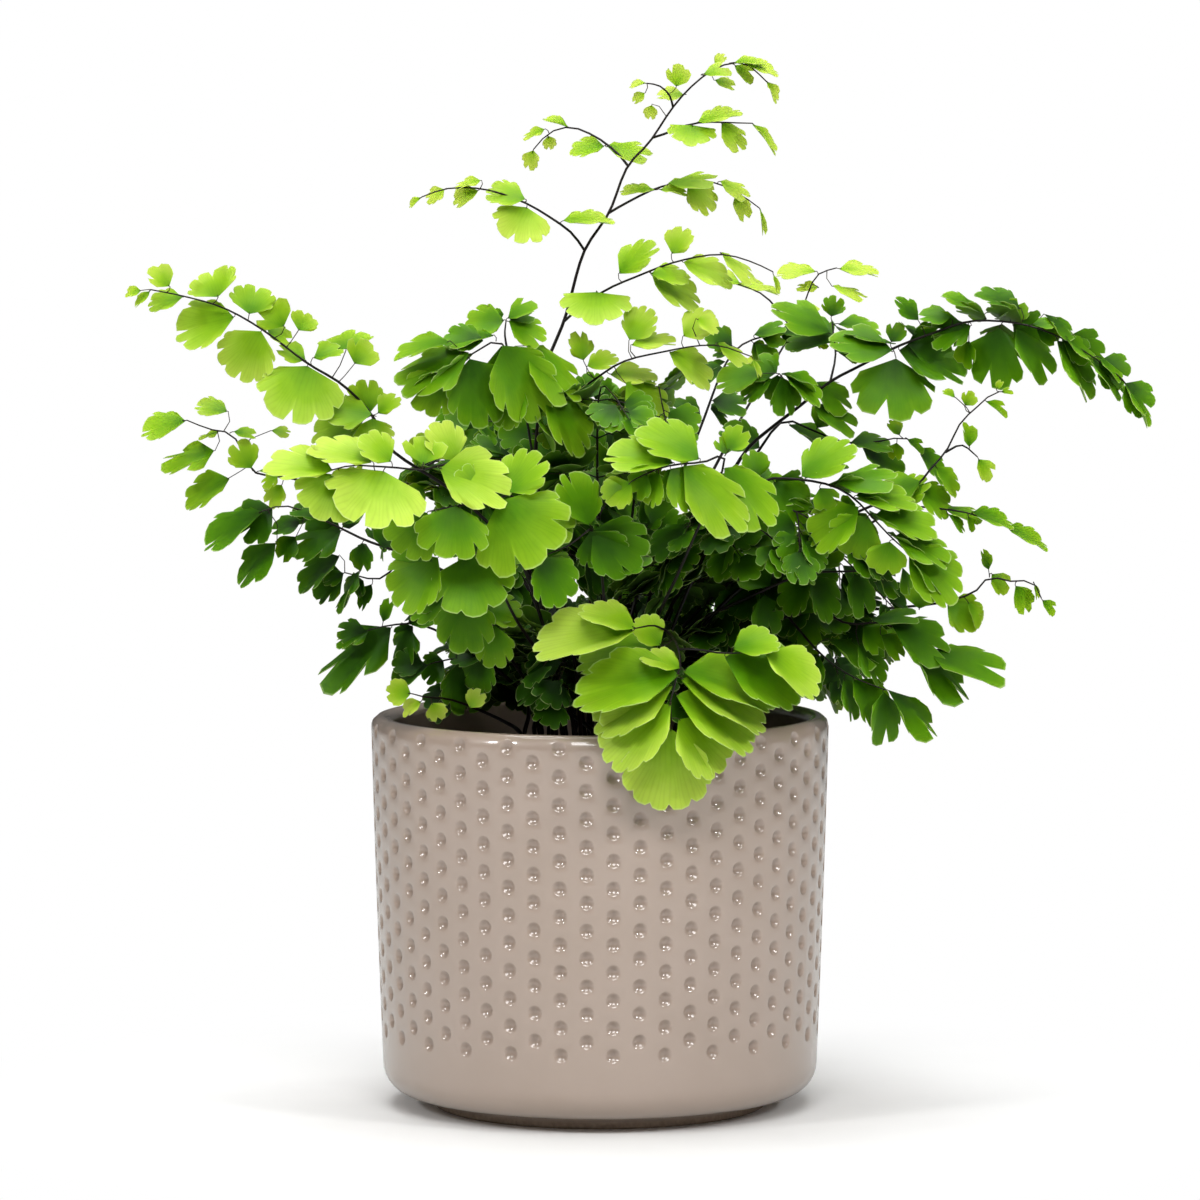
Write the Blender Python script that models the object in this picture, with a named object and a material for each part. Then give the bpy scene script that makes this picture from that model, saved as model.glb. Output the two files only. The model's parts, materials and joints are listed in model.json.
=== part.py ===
"""Potted maidenhair fern: glazed pot, potting mix, rootstock and one solid for each frond.

Metres, +Z up. The origin is the centre of the pot's foot, on the surface that it stands on,
and the front of the plant faces -Y.
"""

import math
import random

import bmesh
import bpy
from mathutils import Matrix, Vector
from mathutils.bvhtree import BVHTree

for old in list(bpy.data.objects):
    bpy.data.objects.remove(old, do_unlink=True)

MM = 0.001
GAP = 0.0003  # what touches is modelled this far apart

# ---------------------------------------------------------------- pot, mix and rootstock
POT_SIDES = 40
POT_OUTER = [  # radius, height in mm, from the middle of the flat foot out and up to the lip
    (0.0, 0.0), (51.0, 0.0), (51.0, 4.0), (58.5, 4.2), (62.6, 6.0), (65.4, 9.4), (66.4, 14.0),
    (67.5, 32.0), (68.8, 63.0), (70.0, 110.0), (69.7, 116.5), (68.4, 119.3), (66.6, 120.0),
]
POT_INNER = [  # on over the lip and down to the middle of the floor
    (64.9, 119.3), (63.8, 117.0), (63.4, 111.0), (62.2, 63.0), (60.6, 22.0), (57.0, 14.0),
    (48.0, 11.5), (0.0, 11.0),
]

MIX_TOP_EDGE = 101.0  # height of the mix beside the wall
MIX_TOP = 103.0  # height of the mix under the rootstock
CROWN_R = 28.0  # rootstock radius
CROWN_H = 7.0  # and its rise above the mix

# ---------------------------------------------------------------- fronds
SIGHT = Vector((0.0, -1.826, 0.296))  # the point from which the front elevation is drawn
PLATE = 0.7  # thickness of a leaf's solid
MOUTH = 1.2  # width of the place on a stalk where a leaf or side branch starts
LONG_STALK = 4.0  # a leaf further than this from its branch stands on a stalk of its own
SHARE = 3.0  # two opposite leaves closer than this along the stalk start side by side
TWIG = 0.9  # thickness of the thinnest stalks
STEM = 1.7  # thickness of a frond's stalk where it leaves the rootstock

# Each frond: stem, side branches and leaves, in mm.
# Stem and branch points are x, z on the front elevation and y, the depth (minus is nearer).
# A leaf is x, z of its base on the front elevation, the angle it points to (0 is to the
# right, 90 is up), and how long and how wide it looks from the front.
FRONDS = {
    # the tall frond that stands over the rest
    "tall": ([(-21, 179, -12), (-19.9, 197.6, -12), (-16.8, 225.1, -10), (-10.7, 241, -8), (-4.7, 261.7, -8),
              (2.7, 273.1, -7), (8.5, 287.4, -6), (14.9, 294.4, -5), (22.2, 305.2, -4), (28.4, 312, -4),
              (36.3, 317.5, -4), (43.9, 318.4, -5), (51, 312.5, -8)],
             [[(-4.7, 261.7, -8), (-8.5, 266.9, -12), (-14.9, 271.6, -15), (-23.7, 276.6, -19), (-35.9, 280.4, -23),
               (-47.1, 280.4, -26), (-54.1, 278, -28)],
              [(8.5, 287.4, -6), (5.6, 290.9, -3), (-0.3, 295.6, 0), (-9, 299.1, 5), (-15.5, 297.3, 8), (-20.2, 292.4, 9)],
              [(22.2, 305.2, -4), (21, 309, -6), (17.9, 311.7, -7), (14.3, 312.4, -8)],
              [(-11.6, 240.2, -8), (-6, 244.4, -16), (2.4, 250, -22), (11.2, 253.8, -26), (22.9, 258.2, -30),
               (36.9, 260.5, -33), (46.3, 258.2, -35), (52.7, 255.2, -36)],
              [(2.7, 273.1, -7), (8.3, 276.3, -2), (19.4, 281.3, 4), (34.6, 282.4, 10), (46.3, 276.3, 12), (48.6, 274.5, 12)],
              [(16.5, 295.6, -5), (20.3, 297.3, -8), (28.7, 300.3, -12), (46.3, 300.3, -16)],
              [(-17.4, 213, -11), (-4.7, 220.4, -24), (6.4, 227.6, -30), (17.5, 230.5, -34), (35.1, 232.9, -38),
               (46.2, 229.4, -41)]],
             [(-11.4, 270.7, 5, 16, 4), (-22.2, 275.1, 250, 10, 19), (-22.5, 277.2, 165, 12.5, 8),
              (-36.8, 280.1, 205, 9, 6), (-36, 283, 188, 8.5, 3), (-47.1, 280.4, 210, 7, 5), (-54.1, 278, 215, 5, 2),
              (1.8, 293.2, -3, 14.5, 6.5), (1.5, 293.5, 185, 11, 6), (-9.3, 299.1, 157, 8.5, 2),
              (-16.6, 298.6, 198, 7.5, 3), (-15.8, 296.8, 280, 4.5, 4.7), (-20.2, 292.4, 255, 6.5, 5.8),
              (25.5, 309, 178, 8.5, 4.5), (23.1, 311.1, 80, 7.3, 8.2), (14.3, 312.6, 190, 5.5, 2),
              (13.8, 309.6, 215, 4.8, 3.5), (15.8, 306.1, 260, 4.7, 4.7),
              (-1.1, 249.4, 268, 7.5, 23), (5.6, 254.6, 45, 15, 9), (21.7, 260.5, 60, 9.5, 9), (15.3, 254.9, -6, 12, 6),
              (15.6, 254.3, 330, 18, 10), (25.2, 258.2, -20, 17, 8), (36.6, 261.1, -33, 15, 4.5), (52.7, 254.6, -70, 6, 2),
              (17, 280.1, 178, 11, 3), (18, 280.3, -5, 9, 3), (20.6, 281.8, 15, 15.5, 5), (26.7, 282.4, 315, 12, 10),
              (36.3, 282.7, -20, 10.5, 5), (41, 278.9, -62, 9, 6), (48.6, 274.5, -75, 8.5, 1.8),
              (28.1, 300, 265, 5, 15.8), (29.6, 300.6, 18, 14, 4.5), (36.6, 300.3, -40, 11, 7.5), (46.3, 300.3, -45, 12, 2.5),
              (34.6, 318.1, 45, 4.5, 3.5), (31.1, 315.2, 8, 9, 4.5), (34.6, 313.4, -15, 7, 3.8), (40.4, 318.7, 5, 10, 2.5),
              (43.9, 318.7, -15, 11, 4), (40.7, 318.1, -40, 8, 5), (50.6, 313.2, -60, 7.5, 3),
              (8.8, 234.3, 58, 12, 11), (9.4, 233, 12, 14, 5), (25.2, 235.5, 40, 12, 10), (29.2, 241, -25, 8, 6),
              (-5, 228, 100, 9.5, 8), (-4.1, 226.4, 20, 10, 6), (2.9, 224.1, 0, 15, 6), (21.1, 231.1, -35, 17, 9),
              (35.7, 233.6, -28, 11.5, 4.5), (46.5, 228.9, -65, 6.5, 2), (7.6, 221.5, -40, 18, 14)]),
    # the long yellow-green one out to the left
    "left_long": ([(-20, 160, -12), (-42, 186, -14), (-64.8, 202.1, -16), (-69.5, 211.5, -17), (-78.6, 220.9, -19),
                   (-89.1, 227.3, -21), (-103.1, 237.8, -25), (-114.8, 244.3, -28), (-126.8, 247.8, -31), (-136.8, 249.8, -33)],
                  [],
                  [(-139.5, 249.6, 192, 5, 3.2), (-136.8, 249.4, 220, 6.5, 2.6), (-130.9, 250.6, 132, 8, 7.5),
                   (-126.8, 247.6, 190, 10.5, 6), (-116.3, 247.5, 115, 9, 16), (-111.3, 241.6, 192, 18, 14),
                   (-106.9, 242.2, 80, 9, 14), (-103.1, 237.4, 238, 16, 18), (-96.1, 238.4, 130, 9, 12),
                   (-101.7, 237.8, -22, 8, 5), (-92, 237.2, 60, 6, 9), (-89.1, 226.9, 256, 15, 26), (-89.6, 228.2, 150, 9, 6),
                   (-87.6, 229, 20, 9, 5), (-77.4, 231.4, 100, 6, 17), (-75, 227, 55, 8, 11), (-69.5, 211.5, 165, 15, 9),
                   (-70, 212, 112, 10, 12), (-71.5, 210.6, 200, 17, 10), (-69.5, 210.8, 272, 9, 13), (-68, 212, 40, 8, 6),
                   (-56, 196, 70, 10, 9)]),
    # sparse dark ones, left of the middle
    "left_mid": ([(-30, 158, -4), (-66, 184, -8), (-94.1, 192.2, -12), (-105.8, 194.3, -14), (-109.6, 201.5, -14),
                  (-112.6, 205.8, -15), (-119.2, 207.3, -16), (-126, 210, -16)],
                 [],
                 [(-126.2, 210, 190, 15, 8), (-117.5, 200.7, 190, 18, 8), (-116, 206.6, 192, 7, 1.8), (-113.4, 212.7, 165, 10.5, 6),
                  (-112, 206.5, -5, 7.5, 3.5), (-100.5, 206.8, 0, 6.2, 3.5), (-106.3, 195.1, 120, 10, 11),
                  (-113, 192.5, 207, 17, 9), (-104.5, 194.4, 10, 7, 2.4), (-98.2, 193.7, 215, 6.5, 5), (-97, 190.5, 235, 8.5, 8),
                  (-80, 188.5, 250, 9, 8), (-76, 188, 70, 9, 8)]),
    "left_low": ([(-22, 142, -18), (-48, 164, -24), (-72.3, 173.6, -30), (-78.8, 176.8, -32), (-85.8, 180.1, -34),
                  (-96.6, 183.9, -37), (-103.1, 182.2, -38)],
                 [[(-60, 168.6, -27), (-67, 161.6, -28), (-78, 163.4, -29)]],
                 [(-103.1, 182.2, 205, 19, 8), (-91.3, 178.6, 190, 8.5, 5), (-85.8, 180.6, 165, 8, 3), (-98.7, 172.4, 222, 16, 8),
                  (-92.8, 174.6, 232, 8, 7), (-78.8, 176.3, 197, 15, 10), (-79.6, 168.8, 215, 15, 7), (-72.6, 172.6, 268, 8, 7),
                  (-78.4, 178, 60, 10, 7), (-78, 163.2, 200, 6.5, 4), (-73.5, 164, 235, 13, 2.5), (-69.6, 160, 240, 8, 4),
                  (-66, 170.4, 80, 8, 8), (-58, 166, 265, 10, 10)]),
    # the pale spray nearest the front, left of the middle
    "spray": ([(-14, 136, -34), (-26, 172, -56), (-40, 197, -70), (-48, 196.4, -76), (-53.8, 194.9, -79), (-63.1, 195.6, -83),
               (-70.1, 196, -85), (-75.9, 196.2, -87), (-81.8, 194.8, -89)],
              [],
              [(-81.4, 195, 172, 19, 8), (-69.4, 197.4, 163, 18, 6.5), (-63.6, 197.2, 135, 11, 8), (-79.6, 193.6, 246, 12, 19),
               (-66, 194.8, 252, 13, 27), (-49, 195.4, -16, 21, 15), (-68.6, 187.5, 250, 7, 5), (-44, 197.6, 118, 12, 10),
               (-54, 196.4, 84, 8, 12)]),
    # the upper one left of the tall stem, dark on top and bright below
    "upper": ([(-12, 150, -22), (-19, 190, -32), (-26, 226, -40), (-31, 234, -43), (-38.6, 230.4, -46), (-46.8, 225.4, -49)],
              [[(-28, 231.5, -41), (-29, 236.5, -38), (-28.6, 240.4, -36)]],
              [(-29, 240.6, 185, 11, 9), (-28.4, 241, 30, 9, 5), (-28.1, 240.2, -20, 11.5, 8), (-32.2, 236, 185, 14, 4),
               (-45.6, 234.2, 190, 16, 4.5), (-39.6, 230.3, 198, 22, 12), (-47.4, 224.8, 236, 13, 16), (-39.8, 229, 285, 19.5, 19),
               (-29.8, 233, 298, 23, 19), (-22.5, 232.7, 320, 21, 11), (-16.1, 218.7, 305, 20, 12), (-24, 222, 240, 14, 12)]),
    # big leaves at the front of the middle
    "front_a": ([(-8, 138, -40), (-18, 166, -62), (-26, 187, -74), (-31, 186.2, -77), (-38, 184.6, -79), (-46, 183.4, -81),
                 (-52, 182.2, -82)],
                [],
                [(-28.5, 188, 50, 14, 12), (-31, 185.3, 308, 20, 28), (-44, 184, 262, 14, 20), (-52.6, 182, 235, 14, 17),
                 (-36, 186.4, 118, 10, 9), (-22, 178, 10, 13, 12)]),
    "front_b": ([(2, 134, -38), (1, 158, -58), (-2, 176.8, -66), (-9, 172, -70), (-17, 168.6, -73)],
                [],
                [(-2.9, 177.6, 110, 16, 12), (-2.4, 176.6, 325, 17, 19), (-18.4, 168.4, 300, 15, 14), (-10, 170.6, 120, 9, 8),
                 (2.6, 166, 20, 12, 10)]),
    "front_c": ([(-14, 130, -32), (-26, 150, -52), (-36, 168.6, -64), (-40.7, 169.2, -68), (-48.9, 168.4, -71)],
                [],
                [(-40.7, 168.9, 282, 15, 24), (-49.3, 168.2, 226, 18, 16), (-34, 166, 25, 10, 9)]),
    "front_d": ([(-18, 126, -30), (-30, 142, -46), (-38, 156, -54), (-41, 157.6, -56), (-46, 156.6, -59)],
                [],
                [(-40.7, 157.2, 263, 17, 18), (-46.6, 156.6, 205, 12, 9), (-35, 152, 0, 10, 9), (-32, 147.4, 262, 12, 12)]),
    # the bright drooping one, right of the middle
    "right_bright": ([(12, 136, -36), (26, 168, -56), (38, 199, -66), (31.6, 197.2, -71), (23.4, 196.5, -74), (16.6, 194.8, -77),
                      (9.7, 191.4, -79)],
                     [],
                     [(30.6, 198.2, 150, 19, 11), (22.6, 197, 168, 19, 9), (18, 194.4, 250, 10, 7), (21.4, 195.4, 308, 13.5, 12),
                      (25, 195.9, 320, 25, 15), (37.6, 195.4, 318, 21, 14), (9.7, 191.1, 215, 9, 10), (39, 200.4, 60, 8, 8)]),
    # the long dark one that reaches the far right
    "right_long": ([(16, 150, -2), (38, 190, 2), (45.3, 201.6, 3), (50.9, 206.6, 3), (61.4, 214.7, 3), (70.2, 221.8, 2),
                    (79.5, 226.7, 1), (90, 232.2, 0), (102.4, 236.9, -2), (111.7, 240, -3), (120.3, 240.3, -4),
                    (130.3, 238.9, -6), (140.2, 235.3, -8), (150.2, 229.3, -10), (158.8, 222.9, -12), (161, 220.4, -12)],
                   [[(61.4, 214.7, 3), (58, 220, -6), (54.7, 224.2, -10)],
                    [(70.2, 221.8, 2), (71.8, 229.8, 10), (71.2, 236, 14), (70.6, 240.5, 16)]],
                   [(89.2, 230.9, 165, 18, 9), (90.2, 229, 265, 16, 24), (91, 231.6, -15, 20, 11), (88.5, 233.6, 60, 6, 6),
                    (97.1, 240.2, 130, 9, 5), (107.1, 241.2, 172, 9, 5), (113.2, 238.9, 200, 12, 7), (121.7, 238.3, 263, 17, 17),
                    (126.4, 237.7, 310, 17, 10), (125, 240.6, 60, 6, 8), (116.4, 242.8, 150, 12, 3.2), (117.4, 242.6, 28, 9, 4),
                    (128.3, 244, 155, 13, 5), (135.2, 242.4, -30, 11, 4), (131.6, 239.2, 6, 6, 3), (139.4, 234.6, 307, 19, 8),
                    (141.7, 235.7, -36, 12, 4), (149.7, 228.9, 315, 14, 5), (152, 229.3, -40, 9, 3), (160, 221.6, -53, 14, 4),
                    (112.4, 234.5, 262, 8, 6), (52.6, 222.8, 208, 10, 6), (55, 223.2, 288, 11, 9), (49.5, 224.3, 188, 13, 8),
                    (56.4, 224.4, -35, 13, 6), (64.8, 221.6, -30, 13, 8), (64.9, 214.6, -26, 14, 7), (70.1, 236.4, 150, 18, 8),
                    (70.4, 241.3, 78, 6, 7), (72.4, 239.5, -5, 12, 4), (71.6, 231, 20, 8, 5)]),
    "right_mid": ([(22, 146, -24), (38.3, 180, -34), (50, 191.5, -38), (56.7, 192.2, -40), (70.2, 190.2, -43), (77, 186.6, -45),
                   (83.2, 180.3, -47), (89.2, 174, -49), (94, 169.8, -50)],
                  [],
                  [(71.9, 190.7, 14, 17, 7), (78, 187, -4, 17, 7), (84, 181.5, -12, 18, 9), (90, 174.9, -20, 17, 9),
                   (94.2, 169.6, -40, 19, 15), (79.2, 183.6, 215, 17, 12), (81.8, 180.6, 236, 12, 16), (88.6, 173.2, 258, 9.5, 12),
                   (67, 189.6, 298, 7, 8), (53, 191.4, 306, 16, 13), (61.4, 192.6, 36, 17, 10), (46, 190, -10, 17, 7),
                   (48, 192, 100, 8, 8)]),
    "right_twig": ([(26, 140, -12), (60, 172, -16), (88, 186, -20), (95.5, 188.9, -20), (101.8, 196.2, -19), (105.4, 200.2, -18),
                    (110.4, 209.8, -16), (114.4, 213.4, -15), (117.7, 216.7, -14), (121.7, 218.7, -13)],
                   [[(105.4, 200.2, -18), (110.4, 202.4, -20), (115.2, 198.8, -22)]],
                   [(111.2, 214.2, 60, 4.5, 5), (108.6, 216.8, 148, 4, 2), (117.5, 216, -30, 7.5, 2.8), (120.8, 219.4, 60, 2.8, 2),
                    (122, 218.7, 0, 3.5, 1.8), (112.8, 201.6, 95, 7, 4.5), (115.4, 198.4, 300, 7, 5.5), (98, 191.4, 200, 14, 8),
                    (97.2, 190.4, -42, 12, 8), (102.4, 196, -48, 10, 5)]),
    "right_twig_b": ([(22, 152, 12), (48, 200, 13), (56.4, 209.8, 12), (65, 206.8, 10), (75.2, 203.2, 8), (84, 203.4, 6),
                      (92.8, 204.6, 5), (97.1, 202.1, 4)],
                     [],
                     [(57.6, 209, -30, 18, 4), (76, 203.2, -2, 12, 4.5), (79.8, 202.6, -35, 15, 8), (91.6, 205.2, 122, 5, 4),
                      (93.6, 204.4, -35, 6, 3), (90.6, 203.4, 262, 5, 5), (97.3, 201.8, 310, 12, 5), (66, 207.4, 60, 8, 7),
                      (49, 201.5, 150, 12, 9)]),
    "right_edge": ([(30, 134, -6), (68, 168, -14), (92, 183, -18), (104.4, 182.9, -20), (113.7, 181.3, -22), (123.6, 177.6, -24)],
                   [],
                   [(104, 183.6, -7, 13, 3), (113.7, 182, -15, 12, 4), (124, 177.5, -23, 13, 3.6), (106.1, 181.6, -42, 7, 2.4),
                    (112.4, 180.8, -68, 4.5, 3), (92.5, 183, -58, 10, 8), (89.5, 183.6, 45, 12, 8)]),
    # light green, over the rim at the front
    "over_rim": ([(8, 130, -30), (19, 146, -50), (24, 141, -66), (24.4, 133.1, -75), (22.4, 129.7, -77), (22.8, 126.6, -79),
                  (21.2, 123.2, -80), (22.2, 118, -81), (22, 116, -81)],
                 [[(22.2, 145.4, -56), (16, 147.2, -66), (10.4, 146.2, -72)],
                  [(24.2, 139.4, -68), (30, 139.8, -72), (38.2, 138.6, -75), (49, 139.4, -77)]],
                 [(17.6, 139.6, 187, 30, 11), (10.4, 145.7, 185, 28, 10), (18.8, 141, 130, 10, 7), (11, 146.4, 158, 16, 5),
                  (25, 134.2, 160, 11.5, 4), (24.2, 132.4, 190, 30, 12), (22.3, 129.1, 205, 25, 12), (21.7, 123, 217, 24, 15),
                  (21.8, 115.6, 264, 23, 21), (24, 118.6, 315, 19, 14), (23.4, 126.2, -30, 26, 11), (24.9, 131, -25, 27, 9),
                  (25.4, 133.6, -15, 27, 9), (38.2, 137.8, -25, 24, 13), (40.4, 140.2, 12, 13, 6), (50.2, 139.4, -32, 19, 8)]),
    "right_low": ([(24, 132, -4), (50, 147, -12), (67, 151.5, -17), (76.1, 147.6, -20), (82.7, 148, -22), (88.2, 147.6, -24),
                   (95, 142, -26), (100, 139, -27)],
                  [[(58, 149.5, -14), (68, 138, -20), (77, 131.6, -24), (87.4, 127.4, -27)]],
                  [(69.4, 143.1, -20, 16, 5), (79, 141.8, -52, 13, 8), (89, 147.1, -20, 18, 12), (83, 148.7, 10, 13, 4),
                   (80.3, 147, -46, 9, 8), (85.8, 144.5, -40, 9, 6), (94.4, 141.6, -38, 23, 9), (100.4, 138.9, -12, 23, 9),
                   (77.5, 130.9, -52, 16, 10), (88, 127.4, -38, 19, 7), (86.6, 127, 276, 15, 10), (74.6, 131, 292, 12, 6),
                   (67, 138.6, 240, 13, 11), (61, 150.4, 62, 9, 9)]),
    "right_low_b": ([(22, 142, -16), (48, 157, -26), (63, 163, -30), (77.3, 163.8, -34), (84, 164.2, -36), (92.1, 165.6, -37)],
                    [],
                    [(77.5, 163.2, 290, 12.5, 9), (84.4, 163.8, -42, 9.5, 4), (92.3, 165.2, 290, 8, 4), (63.1, 162.4, 238, 12, 9),
                     (64.5, 162.6, 300, 14, 9), (52, 159, 130, 14, 12), (66, 164.6, 50, 9, 8), (50, 156.8, 280, 12, 10)]),
    "right_sparse": ([(26, 136, 4), (62, 150, 0), (90, 152.6, -4), (105.4, 154.4, -6), (114.8, 157.7, -8), (119, 162, -9),
                      (124.4, 160.8, -10), (132.3, 160.4, -11), (134.9, 155.6, -12)],
                     [],
                     [(118.8, 164, 102, 6, 3.4), (119.6, 163.2, -50, 7, 6), (126.9, 159.6, -60, 8.5, 6.5), (132.7, 160.2, -72, 4.5, 1.8),
                      (135.1, 155.2, -48, 5.5, 3.5), (106, 154, -28, 11, 11), (97.6, 152, 84, 9, 10), (112.4, 154.6, -62, 8, 4),
                      (88, 152, 276, 9, 8)]),
    # dark, low on the left
    "left_rim": ([(-20, 124, -14), (-38, 139, -24), (-54, 147.4, -32), (-63.3, 147.4, -36), (-70.3, 145.9, -38)],
                 [[(-34, 136, -21), (-44, 137, -30), (-52, 135.4, -36)]],
                 [(-63.7, 146.6, 215, 26, 12), (-70.5, 145.7, 198, 10, 4), (-66.4, 148, 75, 7, 4), (-59, 147.8, 28, 11, 7),
                  (-57.7, 146.4, 248, 11, 8), (-52.4, 135.2, 200, 11.5, 6), (-47.6, 136.4, 222, 8, 7), (-43.1, 136.2, 285, 15, 15),
                  (-44, 138, 80, 9, 9), (-36, 138.6, 262, 11, 10)]),
    "rim_sprout": ([(-30, 118, -20), (-46, 124.5, -36), (-53.6, 125.2, -44), (-57.4, 126.2, -47)],
                   [],
                   [(-57.6, 126.2, 172, 7, 8), (-54.6, 124, 212, 6.5, 4), (-51.6, 123.6, 298, 5.5, 6.5), (-40, 121.6, 60, 6, 6)]),
    # behind, seen over the others
    "back_pale": ([(14, 150, 30), (40, 205, 64), (60, 240, 84), (66, 254, 92), (72, 256.4, 98)],
                  [[(58, 238, 83), (50, 248, 88), (42, 251.5, 92)]],
                  [(66, 255.4, 178, 11, 4), (72.6, 256.2, 0, 11, 3.6), (66.6, 250.4, 176, 6, 3), (70.6, 250.9, -12, 10, 2.8),
                   (41.6, 251.4, -4, 12, 2.4), (43, 251.8, 170, 8, 4), (58, 240, 20, 9, 6), (48, 221, 120, 9, 8)]),
    "back_dark": ([(10, 152, 14), (30, 206, 34), (40.9, 231, 46), (50, 235.6, 52), (63.8, 236.4, 58)],
                  [],
                  [(40.5, 232.6, 150, 8, 8), (46.8, 235.8, 22, 9, 4), (54.4, 237, 2, 9.5, 4), (64, 236.3, -10, 8, 4),
                   (47, 233.4, -38, 9, 6), (38, 226, 196, 10, 6), (34, 216, -8, 10, 7), (31, 210, 150, 10, 8)]),
}

# Widest that the filling fronds may reach on the front elevation: height, left, right
OUTLINE = [(108, -60, 62), (120, -60, 72), (135, -60, 88), (150, -62, 98), (165, -70, 98), (180, -70, 88),
           (195, -62, 80), (210, -58, 76), (225, -48, 70), (237, -38, 60)]
FILL_SEED = 20
FILL_COUNT = 26


def place(x, z, y):
    """The point at depth y that stands at x, z on the front elevation."""
    k = (y * MM - SIGHT.y) / -SIGHT.y
    return Vector((x * MM * k, y * MM, SIGHT.z + (z * MM - SIGHT.z) * k)), k


def crown_height(r):
    """Height of the rootstock's top at a distance from its middle, in metres."""
    return (MIX_TOP + CROWN_H * (1 - (r / (CROWN_R * MM)) ** 2)) * MM + GAP


def smooth(points, steps=6):
    """A curve through the points that doesn't overshoot where their spacing changes (centripetal Catmull-Rom)."""
    if len(points) < 3:
        return list(points)
    ends = [points[0] * 2 - points[1]] + list(points) + [points[-1] * 2 - points[-2]]
    out = []
    for i in range(1, len(ends) - 2):
        a, b, c, d = ends[i - 1:i + 3]
        t0 = 0.0
        t1 = t0 + math.sqrt((b - a).length)
        t2 = t1 + math.sqrt((c - b).length)
        t3 = t2 + math.sqrt((d - c).length)
        for s in range(steps):
            t = t1 + (t2 - t1) * s / steps
            ab = a.lerp(b, (t - t0) / (t1 - t0))
            bc = b.lerp(c, (t - t1) / (t2 - t1))
            cd = c.lerp(d, (t - t2) / (t3 - t2))
            abc = ab.lerp(bc, (t - t0) / (t2 - t0))
            bcd = bc.lerp(cd, (t - t1) / (t3 - t1))
            out.append(abc.lerp(bcd, (t - t1) / (t2 - t1)))
    return out + [points[-1]]


class Path:
    """A smooth line with lengths along it."""

    def __init__(self, points):
        self.pts = smooth(points)
        self.at = [0.0]
        for a, b in zip(self.pts, self.pts[1:]):
            self.at.append(self.at[-1] + (b - a).length)
        self.length = self.at[-1]

    def point(self, s):
        s = min(max(s, 0.0), self.length)
        for i in range(len(self.at) - 1):
            if s <= self.at[i + 1]:
                span = self.at[i + 1] - self.at[i]
                return self.pts[i].lerp(self.pts[i + 1], (s - self.at[i]) / span if span else 0.0)
        return self.pts[-1].copy()

    def ahead(self, s):
        d = self.point(s + 0.0012) - self.point(s - 0.0012)
        return d.normalized()

    def nearest(self, p, start=0.0):
        best = (1e9, 0.0)
        for i in range(len(self.pts) - 1):
            a, b = self.pts[i], self.pts[i + 1]
            ab = b - a
            t = min(max((p - a).dot(ab) / max(ab.length_squared, 1e-12), 0.0), 1.0)
            s = self.at[i] + ab.length * t
            if s >= start:
                gap = (a + ab * t - p).length
                if gap < best[0]:
                    best = (gap, s)
        return best


# ---------------------------------------------------------------- laying out the fronds
FAN = {3: [(-0.5, 0.60), (0.0, 1.0), (0.5, 0.60)],
       4: [(-0.5, 0.55), (-0.29, 0.95), (0.29, 0.95), (0.5, 0.55)]}


class Leaf:
    """A leaf's place: base point, the way it points, the way its width runs, length and width."""

    def __init__(self, base, ahead, across, length, width):
        self.base, self.ahead, self.across = base, ahead.normalized(), across.normalized()
        self.length, self.width = length, width

    def turned(self, lean, roll, scale, nearer):
        """The leaf tipped, rolled, scaled, and moved towards the viewing point."""
        ahead = Matrix.Rotation(math.radians(lean), 3, self.across) @ self.ahead
        across = Matrix.Rotation(math.radians(roll), 3, ahead) @ self.across
        base = self.base + (SIGHT - self.base).normalized() * (nearer * MM)
        return Leaf(base, ahead, across, self.length * scale, self.width * scale)

    def up(self):
        return self.ahead.cross(self.across).normalized()

    def outline(self, count, grow=0.0):
        return [self.base + self.across * (u * (self.width + 2 * grow)) + self.ahead * (v * (self.length + grow))
                for u, v in FAN[count]]

    def solid(self, half, grow, skip, root=None):
        """The leaf as a prism for clash tests: from its root, or without its first few millimetres."""
        near = min(skip / self.length, 0.45)
        edge = self.outline(4, grow)
        if root is None:
            neck = [self.base + (edge[0] - self.base) * near, self.base + (edge[3] - self.base) * near]
        else:
            side = (edge[3] - edge[0]).normalized() * 0.0005
            neck = [root - side, root + side]
        ring = [neck[0]] + edge + [neck[1]]
        n = self.up() * half
        verts = [p + n for p in ring] + [p - n for p in ring]
        c = len(ring)
        faces = [tuple(range(c)), tuple(range(2 * c - 1, c - 1, -1))]
        faces += [(i, (i + 1) % c, c + (i + 1) % c, c + i) for i in range(c)]
        return verts, faces


def front_leaf(entry, depth):
    """A leaf from how it looks from the front: what looks short or narrow is turned away."""
    x, z, angle, length, width = entry
    base, k = place(x, z, depth)
    a = math.radians(angle)
    true_w = max(width, min(1.1 * length, 20.0))
    true_l = max(length, width / 1.35)
    lean = math.acos(min(1.0, length / true_l))
    roll = math.acos(min(1.0, max(0.16, width / true_w)))
    away = 1.0 if math.sin(a) > 0.25 else -1.0
    ahead = Vector((math.cos(a) * math.cos(lean), away * math.sin(lean), math.sin(a) * math.cos(lean)))
    side = Vector((-math.sin(a), 0.0, math.cos(a)))
    if side.z < 0:
        side = -side
    side = (side - ahead * side.dot(ahead)).normalized()
    depthwise = ahead.cross(side)
    if depthwise.y < 0:
        depthwise = -depthwise
    across = side * math.cos(roll) + depthwise * math.sin(roll)
    return Leaf(base, ahead, across, true_l * MM * k, true_w * MM * k)


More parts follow.
